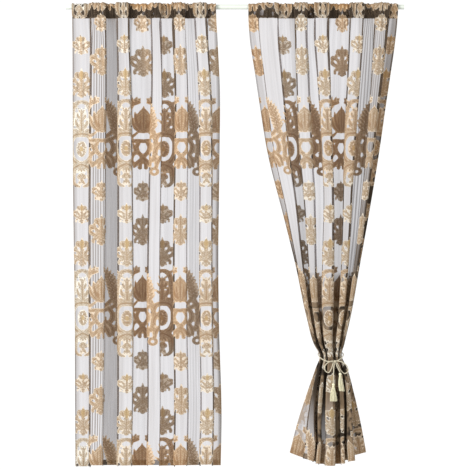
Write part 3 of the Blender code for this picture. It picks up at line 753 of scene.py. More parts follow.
        def leg(reach, share):
            close = (1 - share) ** POCKET_FULLNESS
            across = seam[:, 0] + (x - seam[:, 0]) * share
            depth = reach + (seam[:, 1] - reach) * close
            return np.column_stack([across, depth, seam[:, 2] * (1 - share)])

        shares = np.arange(POCKET_LEG_ROWS) / POCKET_LEG_ROWS
        rows = [leg(back, share) for share in shares]
        for turn in math.pi * (1 - np.arange(POCKET_ARC_ROWS + 1) / POCKET_ARC_ROWS):
            reach = front if turn < math.pi / 2 else back
            rows.append(np.column_stack([x, -reach * math.cos(turn), top * math.sin(turn)]))
        rows += [leg(-front, share) for share in shares[:0:-1]]
        return np.array(rows), np.tile(crown, (len(rows), 1))

    def build(self):
        """Grid of points of the whole cloth from the pocket to the hem, with the length of cloth
        down to each row and the crown of each point."""
        count = round(CLOTH_BELOW_SEAM / ROW_STEP / 2) * 2
        down = np.linspace(0, CLOTH_BELOW_SEAM, count + 1)
        hanging, crowns = self.hang(down)
        pocket, pocket_crowns = self.pocket(hanging[0])
        steps = np.diff(np.concatenate([pocket, hanging[:1]]), axis=0)
        lengths = np.linalg.norm(steps, axis=2).mean(axis=1)
        above = -np.cumsum(lengths[::-1])[::-1]
        points = np.concatenate([pocket, hanging])
        down = np.concatenate([above, down])
        crowns = np.concatenate([pocket_crowns, crowns])
        return self.gathered(points, down), down, crowns

    def blended(self, values):
        """A value of each fold, given to its threads, and blended with its neighbour's in the wall
        between them."""
        values = np.asarray(values, float)
        before = np.concatenate([values[:1], values[:-1]])
        after = np.concatenate([values[1:], values[-1:]])
        own, wall_0, wall_1 = values[self.fold], *self.walls
        to_left = np.clip(1 - self.place / wall_0, 0, 1) / 2
        to_right = np.clip(1 - (1 - self.place) / wall_1, 0, 1) / 2
        return own + to_left * (before[self.fold] - own) + to_right * (after[self.fold] - own)

    def tan(self, down):
        """How far painted shade turns the figures' colour from cream to brown, for each row of the
        cloth
        and each thread: the fold's own for palmettes, and another for the band."""
        v = down % REPEAT_DOWN
        inside = np.minimum(v - BAND_DOWN[0], BAND_DOWN[1] - v)
        band = np.clip(inside / SHADE_EASE + 0.5, 0, 1)[:, None]
        own, in_band = (self.blended(self.folds[column]) for column in ("tan", "band_shade"))
        return own * (1 - band) + in_band * band

    def crease(self, crowns):
        """Narrow dark lines between the folds, each with its own strength."""
        strength = np.append(self.folds["crease"], self.folds["crease"][0])
        nearer = np.where(self.place < 0.5, strength[self.fold], strength[self.fold + 1])
        return (1 - crowns) ** CREASE_SHARPNESS * nearer

    def layers(self, drop):
        """How many layers of cloth the eye passes at each row's drop: each fold's cloth over its
        width, more towards the middle where the tie gathers the cloth, smooth from fold to fold.
        Then how many more lie in the tucks."""
        cloth = np.bincount(self.fold, minlength=self.count) * np.diff(self.across)[0]
        edges = self.faces(drop)[0]
        middle = (edges[:-1] + edges[1:] - edges[0] - edges[-1]) / (edges[-1] - edges[0])
        found = cloth[:, None] / np.diff(edges, axis=0)
        gather = np.clip((self.at("gather", drop) - GATHER_START) / (1 - GATHER_START), 0, 1)
        found *= 1 + GATHERED_LAYERS * np.sqrt(gather) * (1 - GATHERED_EDGE_LOSS * middle**4)
        at = np.clip(self.fold + self.place - 0.5, 0, self.count - 1.001)
        k = at.astype(int)
        share = (at - k)[:, None]
        found = (found[k] * (1 - share) + found[k + 1] * share).T
        tucked = np.zeros(len(self.place))
        for fold, start, end, more in self.tucks:
            inside = np.minimum(self.place - start, end - self.place)
            tucked += more * np.clip(inside / TUCK_EDGE + 0.5, 0, 1) * (self.fold == fold)
        return found, tucked[None, :]

    def behind(self, chart, down, drop):
        """How far the figures on the layers behind show through, at each row and thread."""
        share = np.interp(self.at("gather", drop), BEHIND_GATHER, (0.0, 1.0))[:, None]
        across, length = self.from_axis[None, :] - BEHIND_ACROSS, down[:, None] + BEHIND_DOWN
        depth = chart.at("depth", across, length)
        return share * np.clip(depth / MM / BEHIND_EDGE + 0.5, 0, 1)

    def gathered(self, points, down):
        """The cloth with its fine gathers: each point moves along the cloth's normal by a sum of
        waves across the cloth, whose height fades from the heading down. In the pocket the rod
        holds the cloth from inside, so there they only stand out."""
        across, length = self.across[None, :], down[:, None]
        wave = sum(
            share * np.sin(
                math.tau * (across / wavelength) + lean * length * GATHER_LEAN + GATHER_PHASE * k
            )
            for k, (wavelength, share, lean) in enumerate(GATHERS)
        )
        height = GATHER_LEAST + GATHER_HEIGHT * np.exp(-np.maximum(length, 0) / GATHER_FADE)
        wave = np.where(length < 0, POCKET_WAVE[0] + POCKET_WAVE[1] * wave, wave)
        ease = np.clip(abs(length) / GATHER_EASE, 0, 1)
        return points + normals(points) * (wave * height * ease)[..., None]

    def floats(self, points, down, drop, crowns, chart):
        """What the voile's material needs of each point."""
        layers, tucked = self.layers(drop)
        crowding = np.maximum(thread_crowding(points, self.across), layers / LAYERS_IN_FLAT_FOLD)
        strength = dict(self.pleats)
        pleats = self.blended([strength.get(fold, 0) for fold in range(self.count)])
        edge = np.minimum(self.across - self.across[0], self.across[-1] - self.across) / MM
        return {
            "layers": np.minimum(crowding * (1 + tucked), MOST_LAYERS),
            "crease": self.crease(crowns),
            "pleats": np.broadcast_to(pleats * (pleats > LEAST_PLEATS), points.shape[:2]),
            "edge": np.broadcast_to(edge, points.shape[:2]),
            "behind": self.behind(chart, down, drop),
        }


def normals(points):
    """Unit normals of a grid of points, towards the front of the cloth."""
    across, down = np.gradient(points, axis=1), np.gradient(points, axis=0)
    return unit(np.cross(down, across))


def thread_crowding(points, across):
    """How much closer together the threads hang than in the flat cloth: flat width over width."""
    step = np.gradient(across)[None, :]
    width = np.linalg.norm(np.gradient(points, axis=1), axis=2)
    return np.clip(step / np.maximum(width, step / MOST_CROWDING), 1.0, MOST_CROWDING)


def between(grid, row, column):
    """Values of a grid at places between its points."""
    i = np.clip(np.floor(row).astype(int), 0, grid.shape[0] - 2)
    j = np.clip(np.floor(column).astype(int), 0, grid.shape[1] - 2)
    fr, fc = row - i, column - j
    if grid.ndim == 3:
        fr, fc = fr[..., None], fc[..., None]
    top = grid[i, j] * (1 - fc) + grid[i, j + 1] * fc
    low = grid[i + 1, j] * (1 - fc) + grid[i + 1, j + 1] * fc
    return top * (1 - fr) + low * fr


def figure_faces(inside, near):
    """Faces of a grid's woven figures, and the points that they use. A quad is whole where all its
    corners are inside an outline or near it, and a triangle where three are. Each face has a corner
    inside."""
    quads = grid_faces(*inside.shape)
    kept = (inside | near).ravel()[quads]
    has_inside = inside.ravel()[quads].any(axis=1)
    whole = quads[kept.all(axis=1) & has_inside]
    three = (kept.sum(axis=1) == 3) & has_inside
    part = quads[three][kept[three]].reshape(-1, 3)
    used = np.unique(np.concatenate([whole.ravel(), part.ravel()]))
    number = np.zeros(inside.size, int)
    number[used] = np.arange(len(used))
    return number[whole].tolist() + number[part].tolist(), used


def motif_layer(name, points, down, drape, chart, tan, material):
    """The damask's woven figures: the cloth's grid where the chart is inside its outline. Points
    near the outline move onto it, by their depth along the chart's slope, and the layer lies a hair
    in front of the voile."""
    rows, columns = points.shape[:2]
    across = np.broadcast_to(drape.from_axis[None, :], (rows, columns))
    length = np.broadcast_to(down[:, None], (rows, columns))
    depth = chart.at("depth", across, length)
    near = abs(depth) < SNAP_SHARE * math.hypot(COLUMN_STEP, ROW_STEP)

    def slope(u, v):
        after = chart.at("depth", across + u, length + v)
        return (after - chart.at("depth", across - u, length - v)) / (2 * SLOPE_STEP)

    slope_u, slope_v = slope(SLOPE_STEP, 0), slope(0, SLOPE_STEP)
    steep = np.maximum(slope_u**2 + slope_v**2, LEAST_SLOPE_SQUARED)
    move_u = np.where(near, -depth * slope_u / steep, 0)
    move_v = np.where(near, -depth * slope_v / steep, 0)
    row_step = np.gradient(down)[:, None]
    cells = np.maximum(abs(move_u) / COLUMN_STEP, abs(move_v) / row_step)
    far = np.maximum(cells / SNAP_SHARE, 1)
    row, column = np.mgrid[0:rows, 0:columns]
    row = np.clip(row + move_v / far / row_step, 0, rows - 1)
    column = np.clip(column + move_u / far / COLUMN_STEP, 0, columns - 1)
    placed = between(points + MOTIF_RISE * normals(points), row, column)
    u, v = between(across, row, column), between(length, row, column)
    faces, used = figure_faces(depth > 0, near)

    def keep(values):
        return values.reshape(rows * columns, -1)[used]

    floats = {
        "inside": np.clip(chart.at("own", u, v), *INSIDE_LIMITS) / MM,
        "gold": np.clip(chart.at("gold", u, v), *GOLD_LIMITS) / MM,
        "vein": chart.at("vein", u, v) / MM,
        "tan": tan,
    }
    return new_piece(
        name, keep(placed), faces, keep(np.stack([u, v], axis=-1)), material,
        {key: keep(values) for key, values in floats.items()},
    )


def add_curtain(side, drape, chart, materials):
    """One curtain: the voile sheet with its pocket and turned-up hem, and its woven figures."""
    points, down, crowns = drape.build()
    drop = -points[..., 2].mean(axis=1)
    # painted shade of the figures, fold by fold, less where the tie turns the folds to the light
    tan = drape.tan(down) * (1 - TIED_CREAM * drape.at("gather", drop)[:, None])
    motifs = motif_layer(f"{side}_damask", points, down, drape, chart, tan, materials["damask"])
    floats = drape.floats(points, down, drop, crowns, chart)

    # every second row, and the hem's edge turned up behind
    rows = np.arange(1 - len(down) % 2, len(down), 2)
    turn_rows = round(HEM_TURN / (2 * ROW_STEP))
    up = slice(-2, -2 - turn_rows, -1)
    grid = points[rows]
    grid = np.concatenate([grid, grid[up] - HEM_GAP * normals(grid)[up]])
    turned = CLOTH_BELOW_SEAM + np.arange(1, turn_rows + 1) * 2 * ROW_STEP
    lengths = np.concatenate([down[rows], turned])
    cloth = np.stack(np.broadcast_arrays(drape.from_axis[None, :], lengths[:, None]), axis=-1)
    faces = grid_faces(*grid.shape[:2]).tolist()
    voile = new_piece(
        f"{side}_voile", grid, faces, cloth, materials["voile"],
        {key: np.concatenate([own[rows], own[rows][up]]) for key, own in floats.items()},
    )
    flat = (float(drape.across[-1] - drape.across[0]), float(lengths[-1] - lengths[0]))
    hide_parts(f"{side}_panel")
    return flat


# -------------------------------------------------- the tie

def band_point(turn, outward=0.0):
    """A point of the band, which goes round the curtain from its right side by the back."""
    back = math.sin(turn)
    tilt, sag = (1 + BAND_BACK_RISE) / 2, (1 - BAND_BACK_RISE) / 2
    return BAND_CENTRE + Vector((
        (BAND_HALF_WIDTH + outward) * math.cos(turn),
        (BAND_HALF_DEPTH + outward) * back,
        BAND_SAG * (tilt * back - sag * back**2),
    ))


def knot_centre():
    """The knot's centre, in front of the band."""
    turn = -math.acos((KNOT_X - BAND_CENTRE.x) / BAND_HALF_WIDTH)
    return band_point(turn, CORD_RADIUS + GAP + KNOT_SIZE[1] / 2)


def from_knot(route):
    """A route's points in place: across, forward and up from the knot's centre."""
    centre = knot_centre()
    return np.array([(centre.x + x, centre.y - forward, centre.z + up) for x, forward, up in route])


def twisted_plies(route, up, radius, plies=3, pitch=PLY_PITCH, sides=9, closed=False):
    """Yarns laid round each other along a route.

    Each ply's centre stands off the route by a share of the cord's radius, and turns about it once
    in each pitch. A round tube follows it. With n plies that only touch, the tube's radius is
    sin(pi/n) of the stand-off, and here it is a little more. Points are ply by ply, ring by ring.
    """
    lean = math.sin(math.pi / plies)
    off = radius / (1 + lean)
    tube = off * lean * PLY_OVERLAP
    if closed:
        loop = np.concatenate([route[-1:], route, route[:1]])
        tangent, steps = unit(loop[2:] - loop[:-2]), np.diff(loop[1:], axis=0)
    else:
        tangent, steps = unit(np.gradient(route, axis=0)), np.diff(route, axis=0)
    side = unit(np.cross(tangent, np.asarray(up, float)))
    third = np.cross(tangent, side)
    along = np.concatenate([[0], np.cumsum(np.linalg.norm(steps, axis=1))])
    total, along = along[-1], along[:len(route)]
    turns = max(1, round(total / pitch)) if closed else total / pitch
    theta = math.tau * (along[None, :] / total * turns + np.arange(plies)[:, None] / plies)
    cos, sin = np.cos(theta)[..., None], np.sin(theta)[..., None]
    out = cos * side + sin * third
    centre = route + off * out
    helix = unit(tangent + off * math.tau * turns / total * (cos * third - sin * side))
    out, binormal = out[:, :, None, :], np.cross(helix, out)[:, :, None, :]
    phi = np.linspace(0, math.tau, sides, endpoint=False)
    ring = np.cos(phi)[:, None] * out + np.sin(phi)[:, None] * binormal
    points = centre[:, :, None, :] + tube * ring
    uv = np.stack(np.broadcast_arrays(along[None, :, None], tube * phi[None, None, :]), axis=-1)
    return points, np.broadcast_to(uv, (plies, len(route), sides, 2))


def add_cord_piece(name, route, up, radius, material, closed=False, **twist):
    """A twisted cord along a route."""
    points, uv = twisted_plies(route, up, radius, closed=closed, **twist)
    faces = tube_faces(*points.shape[:3], closed=closed)
    return new_piece(name, points, faces, uv, material)


def add_band(material):
    """The cord round the gathered curtain."""
    route = np.array([band_point(math.tau * k / BAND_STEPS) for k in range(BAND_STEPS)])
    band = add_cord_piece("band_cord", route, (0, 0, 1), CORD_RADIUS, material, closed=True)
    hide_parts("tie_band")


def add_knot(material):
    """The bow's knot: turns of cord side by side round the crossing, each an ellipse that moves
    along by a cord's width as it goes round."""
    t = np.linspace(0, 1, KNOT_STEPS)
    angle = math.tau * KNOT_TURNS * t - 0.5 * math.pi
    across = (t - 0.5) * (KNOT_SIZE[0] - 2 * CORD_RADIUS) * KNOT_SPREAD
    swell = 1 - KNOT_TAPER * (2 * t - 1) ** 2
    depth, height = (size / 2 - inset for size, inset in zip(KNOT_SIZE[1:], KNOT_INSETS))
    route = np.array(knot_centre()) + np.column_stack([
        across, -np.cos(angle) * depth * swell, np.sin(angle) * height * swell,
    ])
    knot = add_cord_piece(
        "knot_cord", route, (1, 0, 0), KNOT_CORD_RADIUS, material, pitch=KNOT_PITCH,
    )
    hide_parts("tie_knot")


def add_bow_and_tails(material):
    """The bow's loops and the free ends: each piece, and the path that its cord follows."""
    found = {}
    for name, route in ROUTES.items():
        path = smooth_route(from_knot(route), CORD_STEP)
        piece = add_cord_piece(name + "_cord", path, (0, 1, 0), CORD_RADIUS, material)
        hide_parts(name)
        found[name] = (piece, path)
    return found


def tassel_head(top):
    """The head: a turned profile whose radius swells and sinks with its ribs of yarn."""
    wide, low = smooth_route(TASSEL_HEAD_PROFILE, HEAD_STEP).T[..., None]
    turns = np.linspace(0, math.tau, HEAD_SIDES, endpoint=False)
    ribs = abs(np.sin(HEAD_RIBS / 2 * turns))[None, :]
    radius = wide * TASSEL_HEAD_RADIUS * (1 + HEAD_RIB_HEIGHT * ribs * np.clip(wide * 2, 0, 1))
    down = low * TASSEL_HEAD_LENGTH
    points = np.stack(np.broadcast_arrays(
        top[0] + radius * np.cos(turns), top[1] + radius * np.sin(turns), top[2] - down,
    ), axis=-1)
    uv = np.stack(np.broadcast_arrays(down, turns[None, :] * TASSEL_HEAD_RADIUS), axis=-1)
    return points, tube_faces(1, *points.shape[:2]), uv


def tassel_skirt(top, length, foot, swing, seed):
    """The skirt: strands from the head's neck to a level foot. A strand runs from its root to its
    tip with a belly outwards and a small wave, and its tip is cut within a few millimetres of
    level."""
    rng = np.random.default_rng(seed)
    turn = rng.uniform(0, math.tau, STRANDS)
    share = np.sqrt(rng.uniform(0.02, 1, STRANDS))
    t = np.linspace(0, 1, STRAND_RINGS)[None, :]
    out = np.stack([np.cos(turn), np.sin(turn)], axis=-1)[:, None, :]
    root = TASSEL_HEAD_RADIUS * STRAND_ROOT_SPREAD * share
    tip = (foot / 2 - STRAND_FOOT_MARGIN) * share
    belly = STRAND_BELLY * share[:, None] * np.sin(math.pi * t)
    spread = root[:, None] + (tip - root)[:, None] * t**0.85 + belly
    wave = STRAND_WAVE * np.sin(5 * t + rng.uniform(0, 6, STRANDS)[:, None])
    start = TASSEL_HEAD_LENGTH * STRAND_ROOT_DEPTH
    uneven = rng.uniform(0, STRAND_UNEVEN, STRANDS)[:, None]
    drop = start + (length - start - uneven) * t
    centre = np.concatenate([out * (spread + wave)[..., None], -drop[..., None]], axis=-1)
    centre[..., 0] += swing * t**1.5
    centre += np.asarray(top)
    radius = np.broadcast_to(STRAND_RADIUS * (0.9 + 0.25 * t), centre.shape[:2])
    phi = np.linspace(0, math.tau, STRAND_SIDES, endpoint=False)
    ring = np.stack([np.cos(phi), np.sin(phi), 0 * phi], axis=-1)
    points = centre[:, :, None, :] + radius[..., None, None] * ring
    around = (turn[:, None, None] + phi) * STRAND_TEXTURE
    uv = np.stack(np.broadcast_arrays(drop[:, :, None], around), axis=-1)
    return points, tube_faces(*points.shape[:3], turned=True), uv


def neck_wrap(top):
    """The thin cord that is wound round the head's neck."""
    turns = np.linspace(0, math.tau * NECK_WRAP["turns"], NECK_WRAP["steps"])
    radius, middle = NECK_WRAP["radius"], top[2] - NECK_WRAP["at"] * TASSEL_HEAD_LENGTH
    route = np.column_stack([
        top[0] + radius * np.cos(turns), top[1] + radius * np.sin(turns),
        middle + NECK_WRAP["rise"] * (turns / math.tau - NECK_WRAP["turns"] / 2),
    ])
    points, uv = twisted_plies(route, (0, 0, 1), **NECK_CORD)
    return points, tube_faces(*points.shape[:3]), uv


def add_tassel(name, sizes, material, seed):
    """A tassel under a free end: its head, its skirt and the wrap round its neck."""
    end = from_knot(ROUTES[sizes["route"]])[-1]
    top = end - np.array((0, 0, GAP + CORD_RADIUS / 2))
    skirt = tassel_skirt(top, sizes["length"], sizes["foot"], sizes["swing"], seed)
    points, faces, uv, count = [], [], [], 0
    for its_points, its_faces, its_uv in (tassel_head(top), skirt, neck_wrap(top)):
        points.append(its_points.reshape(-1, 3))
        faces += [[i + count for i in face] for face in its_faces]
        uv.append(its_uv.reshape(-1, 2))
        count += len(points[-1])
    points, uv = np.concatenate(points), np.concatenate(uv)
    tassel = new_piece(name + "_yarn", points, faces, uv, material)
    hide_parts(name)
    return tassel


# -------------------------------------------------- finishes

class Finish:
    """A material, built node by node."""

    def __init__(self, name):
        self.material = bpy.data.materials.new(name)
        self.material.use_nodes = True
        self.tree = self.material.node_tree
        self.tree.nodes.clear()
        self.output = self.tree.nodes.new("ShaderNodeOutputMaterial")

    def add(self, kind, inputs=None, **settings):
        node = self.tree.nodes.new("ShaderNode" + kind)
        for name, value in settings.items():
            setattr(node, name, value)
        for key, value in (inputs or {}).items():
            socket = node.inputs[key]
            if isinstance(value, bpy.types.NodeSocket):
                self.tree.links.new(value, socket)
            else:
                socket.default_value = value
        return node

    def math(self, operation, *values, clamp=False):
        inputs = dict(enumerate(values))
        return self.add("Math", inputs, operation=operation, use_clamp=clamp).outputs[0]

    def attribute(self, name):
        return self.add("Attribute", attribute_name=name).outputs["Fac"]

    def uv(self):
        return self.add("UVMap", uv_map="cloth").outputs["UV"]

    def split(self, vector):
        return self.add("SeparateXYZ", {0: vector}).outputs[:2]

    def noise(self, vector, scale, detail=2.0, roughness=0.5):
        """Noise with one scale, or with a scale of its own along each axis."""
        if isinstance(scale, tuple):
            mapping = self.add("Mapping", {"Vector": vector, "Scale": scale})
            vector, scale = mapping.outputs["Vector"], 1.0
        inputs = {"Vector": vector, "Scale": scale, "Detail": detail, "Roughness": roughness}
        return self.add("TexNoise", inputs).outputs["Fac"]

    def steps(self, factor, stops):
        """A value that goes from stop to stop: (place, value)."""
        node = self.add("ValToRGB", {"Fac": factor})
        elements = node.color_ramp.elements
        while len(elements) < len(stops):
            elements.new(0.5)
        for element, (place, value) in zip(elements, stops):
            element.position = place
            element.color = (value, value, value, 1.0)
        return node.outputs["Color"]

    def blend(self, factor, a, b, mode="MIX"):
        node = self.add("Mix", {"Factor": factor}, data_type="RGBA", blend_type=mode)
        for index, value in ((6, a), (7, b)):
            if isinstance(value, bpy.types.NodeSocket):
                self.tree.links.new(value, node.inputs[index])
            else:
                node.inputs[index].default_value = (*value, 1.0)
        return node.outputs[2]

    def bump(self, height, strength, distance):
        inputs = {"Height": height, "Strength": strength, "Distance": distance}
        return self.add("Bump", inputs).outputs["Normal"]

    def mix(self, factor, a, b):
        return self.add("MixShader", {0: factor, 1: a, 2: b}).outputs[0]

    def principled(self, colour, roughness, **inputs):
        """The main shader. An underscore in an input's name stands for a space."""
        named = {key.replace("_", " "): value for key, value in inputs.items()}
        named.update({"Base Color": colour, "Roughness": roughness})
        return self.add("BsdfPrincipled", named).outputs[0]

    def cloth(self, colour, normal, cover, sheen_roughness, through, clear=(1.0, 1.0, 1.0)):
        """Cloth that covers a share of what is behind it, and passes a share of the light that
        meets its yarn."""
        yarn = self.principled(
            colour, 0.75, Normal=normal, Sheen_Weight=0.1, Sheen_Roughness=sheen_roughness,
            Specular_IOR_Level=0.2,
        )
        lit = self.add("BsdfTranslucent", {"Color": colour}).outputs[0]
        gaps = self.add("BsdfTransparent", {"Color": (*clear, 1.0)}).outputs[0]
        return self.done(self.mix(cover, gaps, self.mix(through, yarn, lit)))

    def done(self, shader):
        self.tree.links.new(shader, self.output.inputs["Surface"])
        return self.material


def toned(colour, factor):
    """A colour times a factor, at most 1."""
    return tuple(min(1, c * factor) for c in colour)


def voile_material(cloth):
    """Dark open-weave voile: see-through between its threads, closer where threads crowd or layers
    lie over each other, in creases and fine pleats, in the pocket, and at the seam and edges.
    Painted shade darkens noise patches in the pocket and the core where many layers lie, and the
    figures behind show through in painted shade."""
    f = Finish("voile")
    uv = f.uv()
    across, down = f.split(uv)
    # threads: raised cosine bands across and down
    turn = math.tau / cloth.thread_pitch
    warp = f.math("SINE", f.math("MULTIPLY", across, turn))
    weft = f.math("SINE", f.math("MULTIPLY", down, turn * 0.9))
    threads = f.math("MAXIMUM", warp, weft)
    slubs = f.noise(uv, (420, 9, 1), 3)
    gathers = f.steps(f.noise(uv, (62, 1.3, 1), 3, 0.6), ((0.40, 0.0), (0.66, 1.0)))
    patches = f.noise(uv, (6, 1.2, 1), 2)
    # pleats: a dark line and a bright one in each pitch, which wander a little
    stray = f.math("MULTIPLY", f.noise(uv, (38, 1.1, 1), 2), 6.5)
    wave = f.math("SINE", f.math("MULTIPLY_ADD", across, math.tau / PLEAT_PITCH, stray))
    wave = f.math("MULTIPLY_ADD", wave, 0.5, 0.5)
    dark = f.steps(wave, ((0.15, 0.0), (0.55, 0.25), (0.90, 1.0)))
    pleats = f.math("MULTIPLY", f.attribute("pleats"), f.math("MULTIPLY_ADD", dark, 2.9, -0.1))
    # cover of several layers: 1 - clear ** layers
    layers = f.math("ADD", pleats, f.attribute("layers"))
    layers = f.math("MULTIPLY_ADD", gathers, 0.55, layers)
    clear = f.math("SUBTRACT", 1.0, cloth.cover)
    cover = f.math("SUBTRACT", 1.0, f.math("POWER", clear, layers))
    uneven = f.math("MULTIPLY_ADD", slubs, 0.30, 0.70)
    uneven = f.math("MULTIPLY_ADD", patches, 0.2, uneven)
    uneven = f.math("MULTIPLY_ADD", threads, 0.06, uneven)
    cover = f.math("MULTIPLY", cover, uneven)
    cover = f.math("MULTIPLY_ADD", f.attribute("crease"), cloth.crease_cover, cover)
    # seam, hem and side hems hold two or three layers
    hem = f.math("GREATER_THAN", down, CLOTH_BELOW_SEAM - HEM_TURN)
    side = f.math("LESS_THAN", f.attribute("edge"), SIDE_HEM)
    seam = f.math("LESS_THAN", f.math("ABSOLUTE", down), SEAM_HALF_WIDTH)
    pocket = f.math("LESS_THAN", down, 0.0)
    extra = f.math("MULTIPLY_ADD", hem, 0.30, f.math("MULTIPLY", side, 0.16))
    extra = f.math("MULTIPLY_ADD", seam, 0.4, extra)
    # painted shade in the heading's recesses: noise patches in the pocket add cover and darken the
    # voile's colour
    shade = f.steps(f.noise(uv, (30, 9, 1), 3), ((0.36, 0.05), (0.60, 0.80)))
    shade = f.math("MULTIPLY", pocket, shade)
    extra = f.math("ADD", shade, extra)
    # many layers over each other let nothing through, and their colour is darkened with painted
    # shade
    deep = f.math("MULTIPLY_ADD", f.attribute("layers"), 0.16, -0.64, clamp=True)
    extra = f.math("MULTIPLY_ADD", deep, 0.22, extra)
    cover = f.math("ADD", cover, extra, clamp=True)
    # figures on the layers behind, with the gathers of the front layer over them: their colour is
    # the figures' seen through the front layer and in painted shade
    behind = f.math("MULTIPLY_ADD", gathers, -0.45, 0.85)
    behind = f.math("MULTIPLY", f.attribute("behind"), behind)
    cover = f.math("MAXIMUM", cover, f.math("MULTIPLY", behind, 0.95))
    # colour: the slubs are the yarn's own; shade and deep add painted shade, and the figures behind
    # are in painted shade
    own = cloth.voile_colour
    colour = f.blend(slubs, own, toned(own, 1.8))
    colour = f.blend(shade, colour, toned(own, 0.35))
    colour = f.blend(deep, colour, toned(own, 0.45))
    colour = f.blend(behind, colour, cloth.shaded_behind_colour)
    normal = f.bump(threads, 0.25, 0.0002)
    return f.cloth(colour, normal, cover, 0.4, 0.3, clear=(0.98, 0.972, 1.0))


def damask_material(cloth):
    """Woven figures: cream yarn with a pale outline, with painted shadow in the ribs' troughs, the
    veins and the grooves, and painted shade that turns them brown in the folds that lie back."""
    f = Finish("damask")
    uv = f.uv()
    across, down = f.split(uv)
    inside = f.math("MULTIPLY", f.attribute("inside"), 0.1)
    # diagonal ribs of yarn, mirrored at each axis of the pattern
    folded = f.math("PINGPONG", across, REPEAT_ACROSS / 2)
    lean = f.math("MULTIPLY_ADD", folded, 0.9, down)
    lean = f.math("MULTIPLY_ADD", f.noise(uv, (30, 30, 1), 2), 0.016, lean)
    ribs = f.math("SINE", f.math("MULTIPLY", lean, math.tau / RIB_PITCH))
    ribs = f.math("MULTIPLY_ADD", ribs, 0.5, 0.5)
    fine = f.noise(uv, (700, 260, 1), 3)
    blotch = f.steps(f.noise(uv, (75, 60, 1), 3), ((0.38, 0.0), (0.62, 1.0)))
    body = f.blend(blotch, cloth.motif_colour, cloth.motif_dark)
    vein = f.steps(f.attribute("vein"), ((0.66, 0.0), (0.80, 1.0)))
    groove = f.steps(inside, ((0.13, 0.0), (0.17, 1.0), (0.23, 1.0), (0.30, 0.0)))
    # painted shadow: the ribs' troughs, the veins and the grooves inside the outline go towards the
    # figures' shadow colour
    for dark, strength in ((ribs, 0.50), (vein, 0.80), (groove, 0.70)):
        body = f.blend(f.math("MULTIPLY", dark, strength), body, cloth.motif_shadow)
    outline = f.steps(inside, ((0.11, 1.0), (0.16, 0.0)))
    colour = f.blend(outline, body, cloth.outline_colour)
    gold = f.math("MULTIPLY_ADD", f.attribute("gold"), 0.2, 0.5)
    colour = f.blend(f.steps(gold, ((0.44, 0.0), (0.66, 0.60))), colour, cloth.gold_colour)
    speckle = f.steps(fine, ((0.42, 0.0), (0.66, 0.45)))
    # painted shade: the figures go brown by each fold's shade, most in the folds that lie back; the
    # speckle is the yarn's own
    for factor, tint in ((f.attribute("tan"), cloth.shade_tint), (speckle, (0.50, 0.42, 0.34))):
        colour = f.blend(factor, colour, f.blend(1.0, colour, tint, "MULTIPLY"))
    height = f.math("MULTIPLY_ADD", ribs, 0.5, f.math("MULTIPLY_ADD", fine, 1.2, outline))
    cover = f.math("MINIMUM", f.math("MULTIPLY_ADD", fine, 0.3, 0.80), 1.0)
    return f.cloth(colour, f.bump(height, 0.5, 0.0005), cover, 0.5, 0.35)


def yarn_material(name, colour, dark):
    """Satin yarn: fine fibres that run along each ply, some darker than others, with paler patches.
    """
    f = Finish(name)
    uv = f.uv()
    fibres = f.noise(uv, (260, 2600, 1), 3, 0.6)
    patches = f.noise(uv, (90, 60, 1), 2)
    tone = f.blend(f.steps(fibres, ((0.3, 0.0), (0.7, 1.0))), dark, colour)
    tone = f.blend(f.math("MULTIPLY", patches, 0.3), tone, toned(colour, 1.12))
    return f.done(f.principled(
        tone, 0.5, Normal=f.bump(fibres, 0.5, 0.0003), Sheen_Weight=0.5, Sheen_Roughness=0.35,
        Specular_IOR_Level=0.4,
    ))


def rod_material(colour):
    """Satin paint on steel tube: faint orange peel, and paler, rougher streaks along the rod."""
    f = Finish("rod_paint")
    where = f.add("TexCoord").outputs["Object"]
    peel = f.noise(where, 900.0, 2)
    blotch = f.noise(where, (14, 60, 60), 3)
    pale_streaks = f.noise(where, (7, 260, 260), 4, 0.7)
    tone = f.blend(f.math("MULTIPLY", blotch, 0.5), colour, toned(colour, 0.82))
    tone = f.blend(f.steps(pale_streaks, ((0.62, 0.0), (0.72, 0.55))), tone, (0.74, 0.75, 0.72))
    rough = f.math("ADD", 0.30, f.math("MULTIPLY", pale_streaks, 0.25))
    normal = f.bump(peel, 0.2, 0.0002)
    return f.done(f.principled(tone, rough, Normal=normal, Specular_IOR_Level=0.5))


def floor_material(colour):
    """A plain pale floor, faintly mottled."""
    f = Finish("pale_floor")
    where = f.add("TexCoord").outputs["Object"]
    mottle = f.noise(where, 5.0, 3)
    tone = f.blend(f.math("MULTIPLY", mottle, 0.3), colour, toned(colour, 0.94))
    return f.done(f.principled(tone, 0.9))


# -------------------------------------------------- settings

def colour_property(name, description, value):
    """A colour."""
    return bpy.props.FloatVectorProperty(
        name=name, description=description, default=value, subtype="COLOR", size=3, min=0, max=1,
    )


def number_property(name, description, value, **kind):
    """A number, with its unit or subtype and its limits."""
    return bpy.props.FloatProperty(name=name, description=description, default=value, **kind)


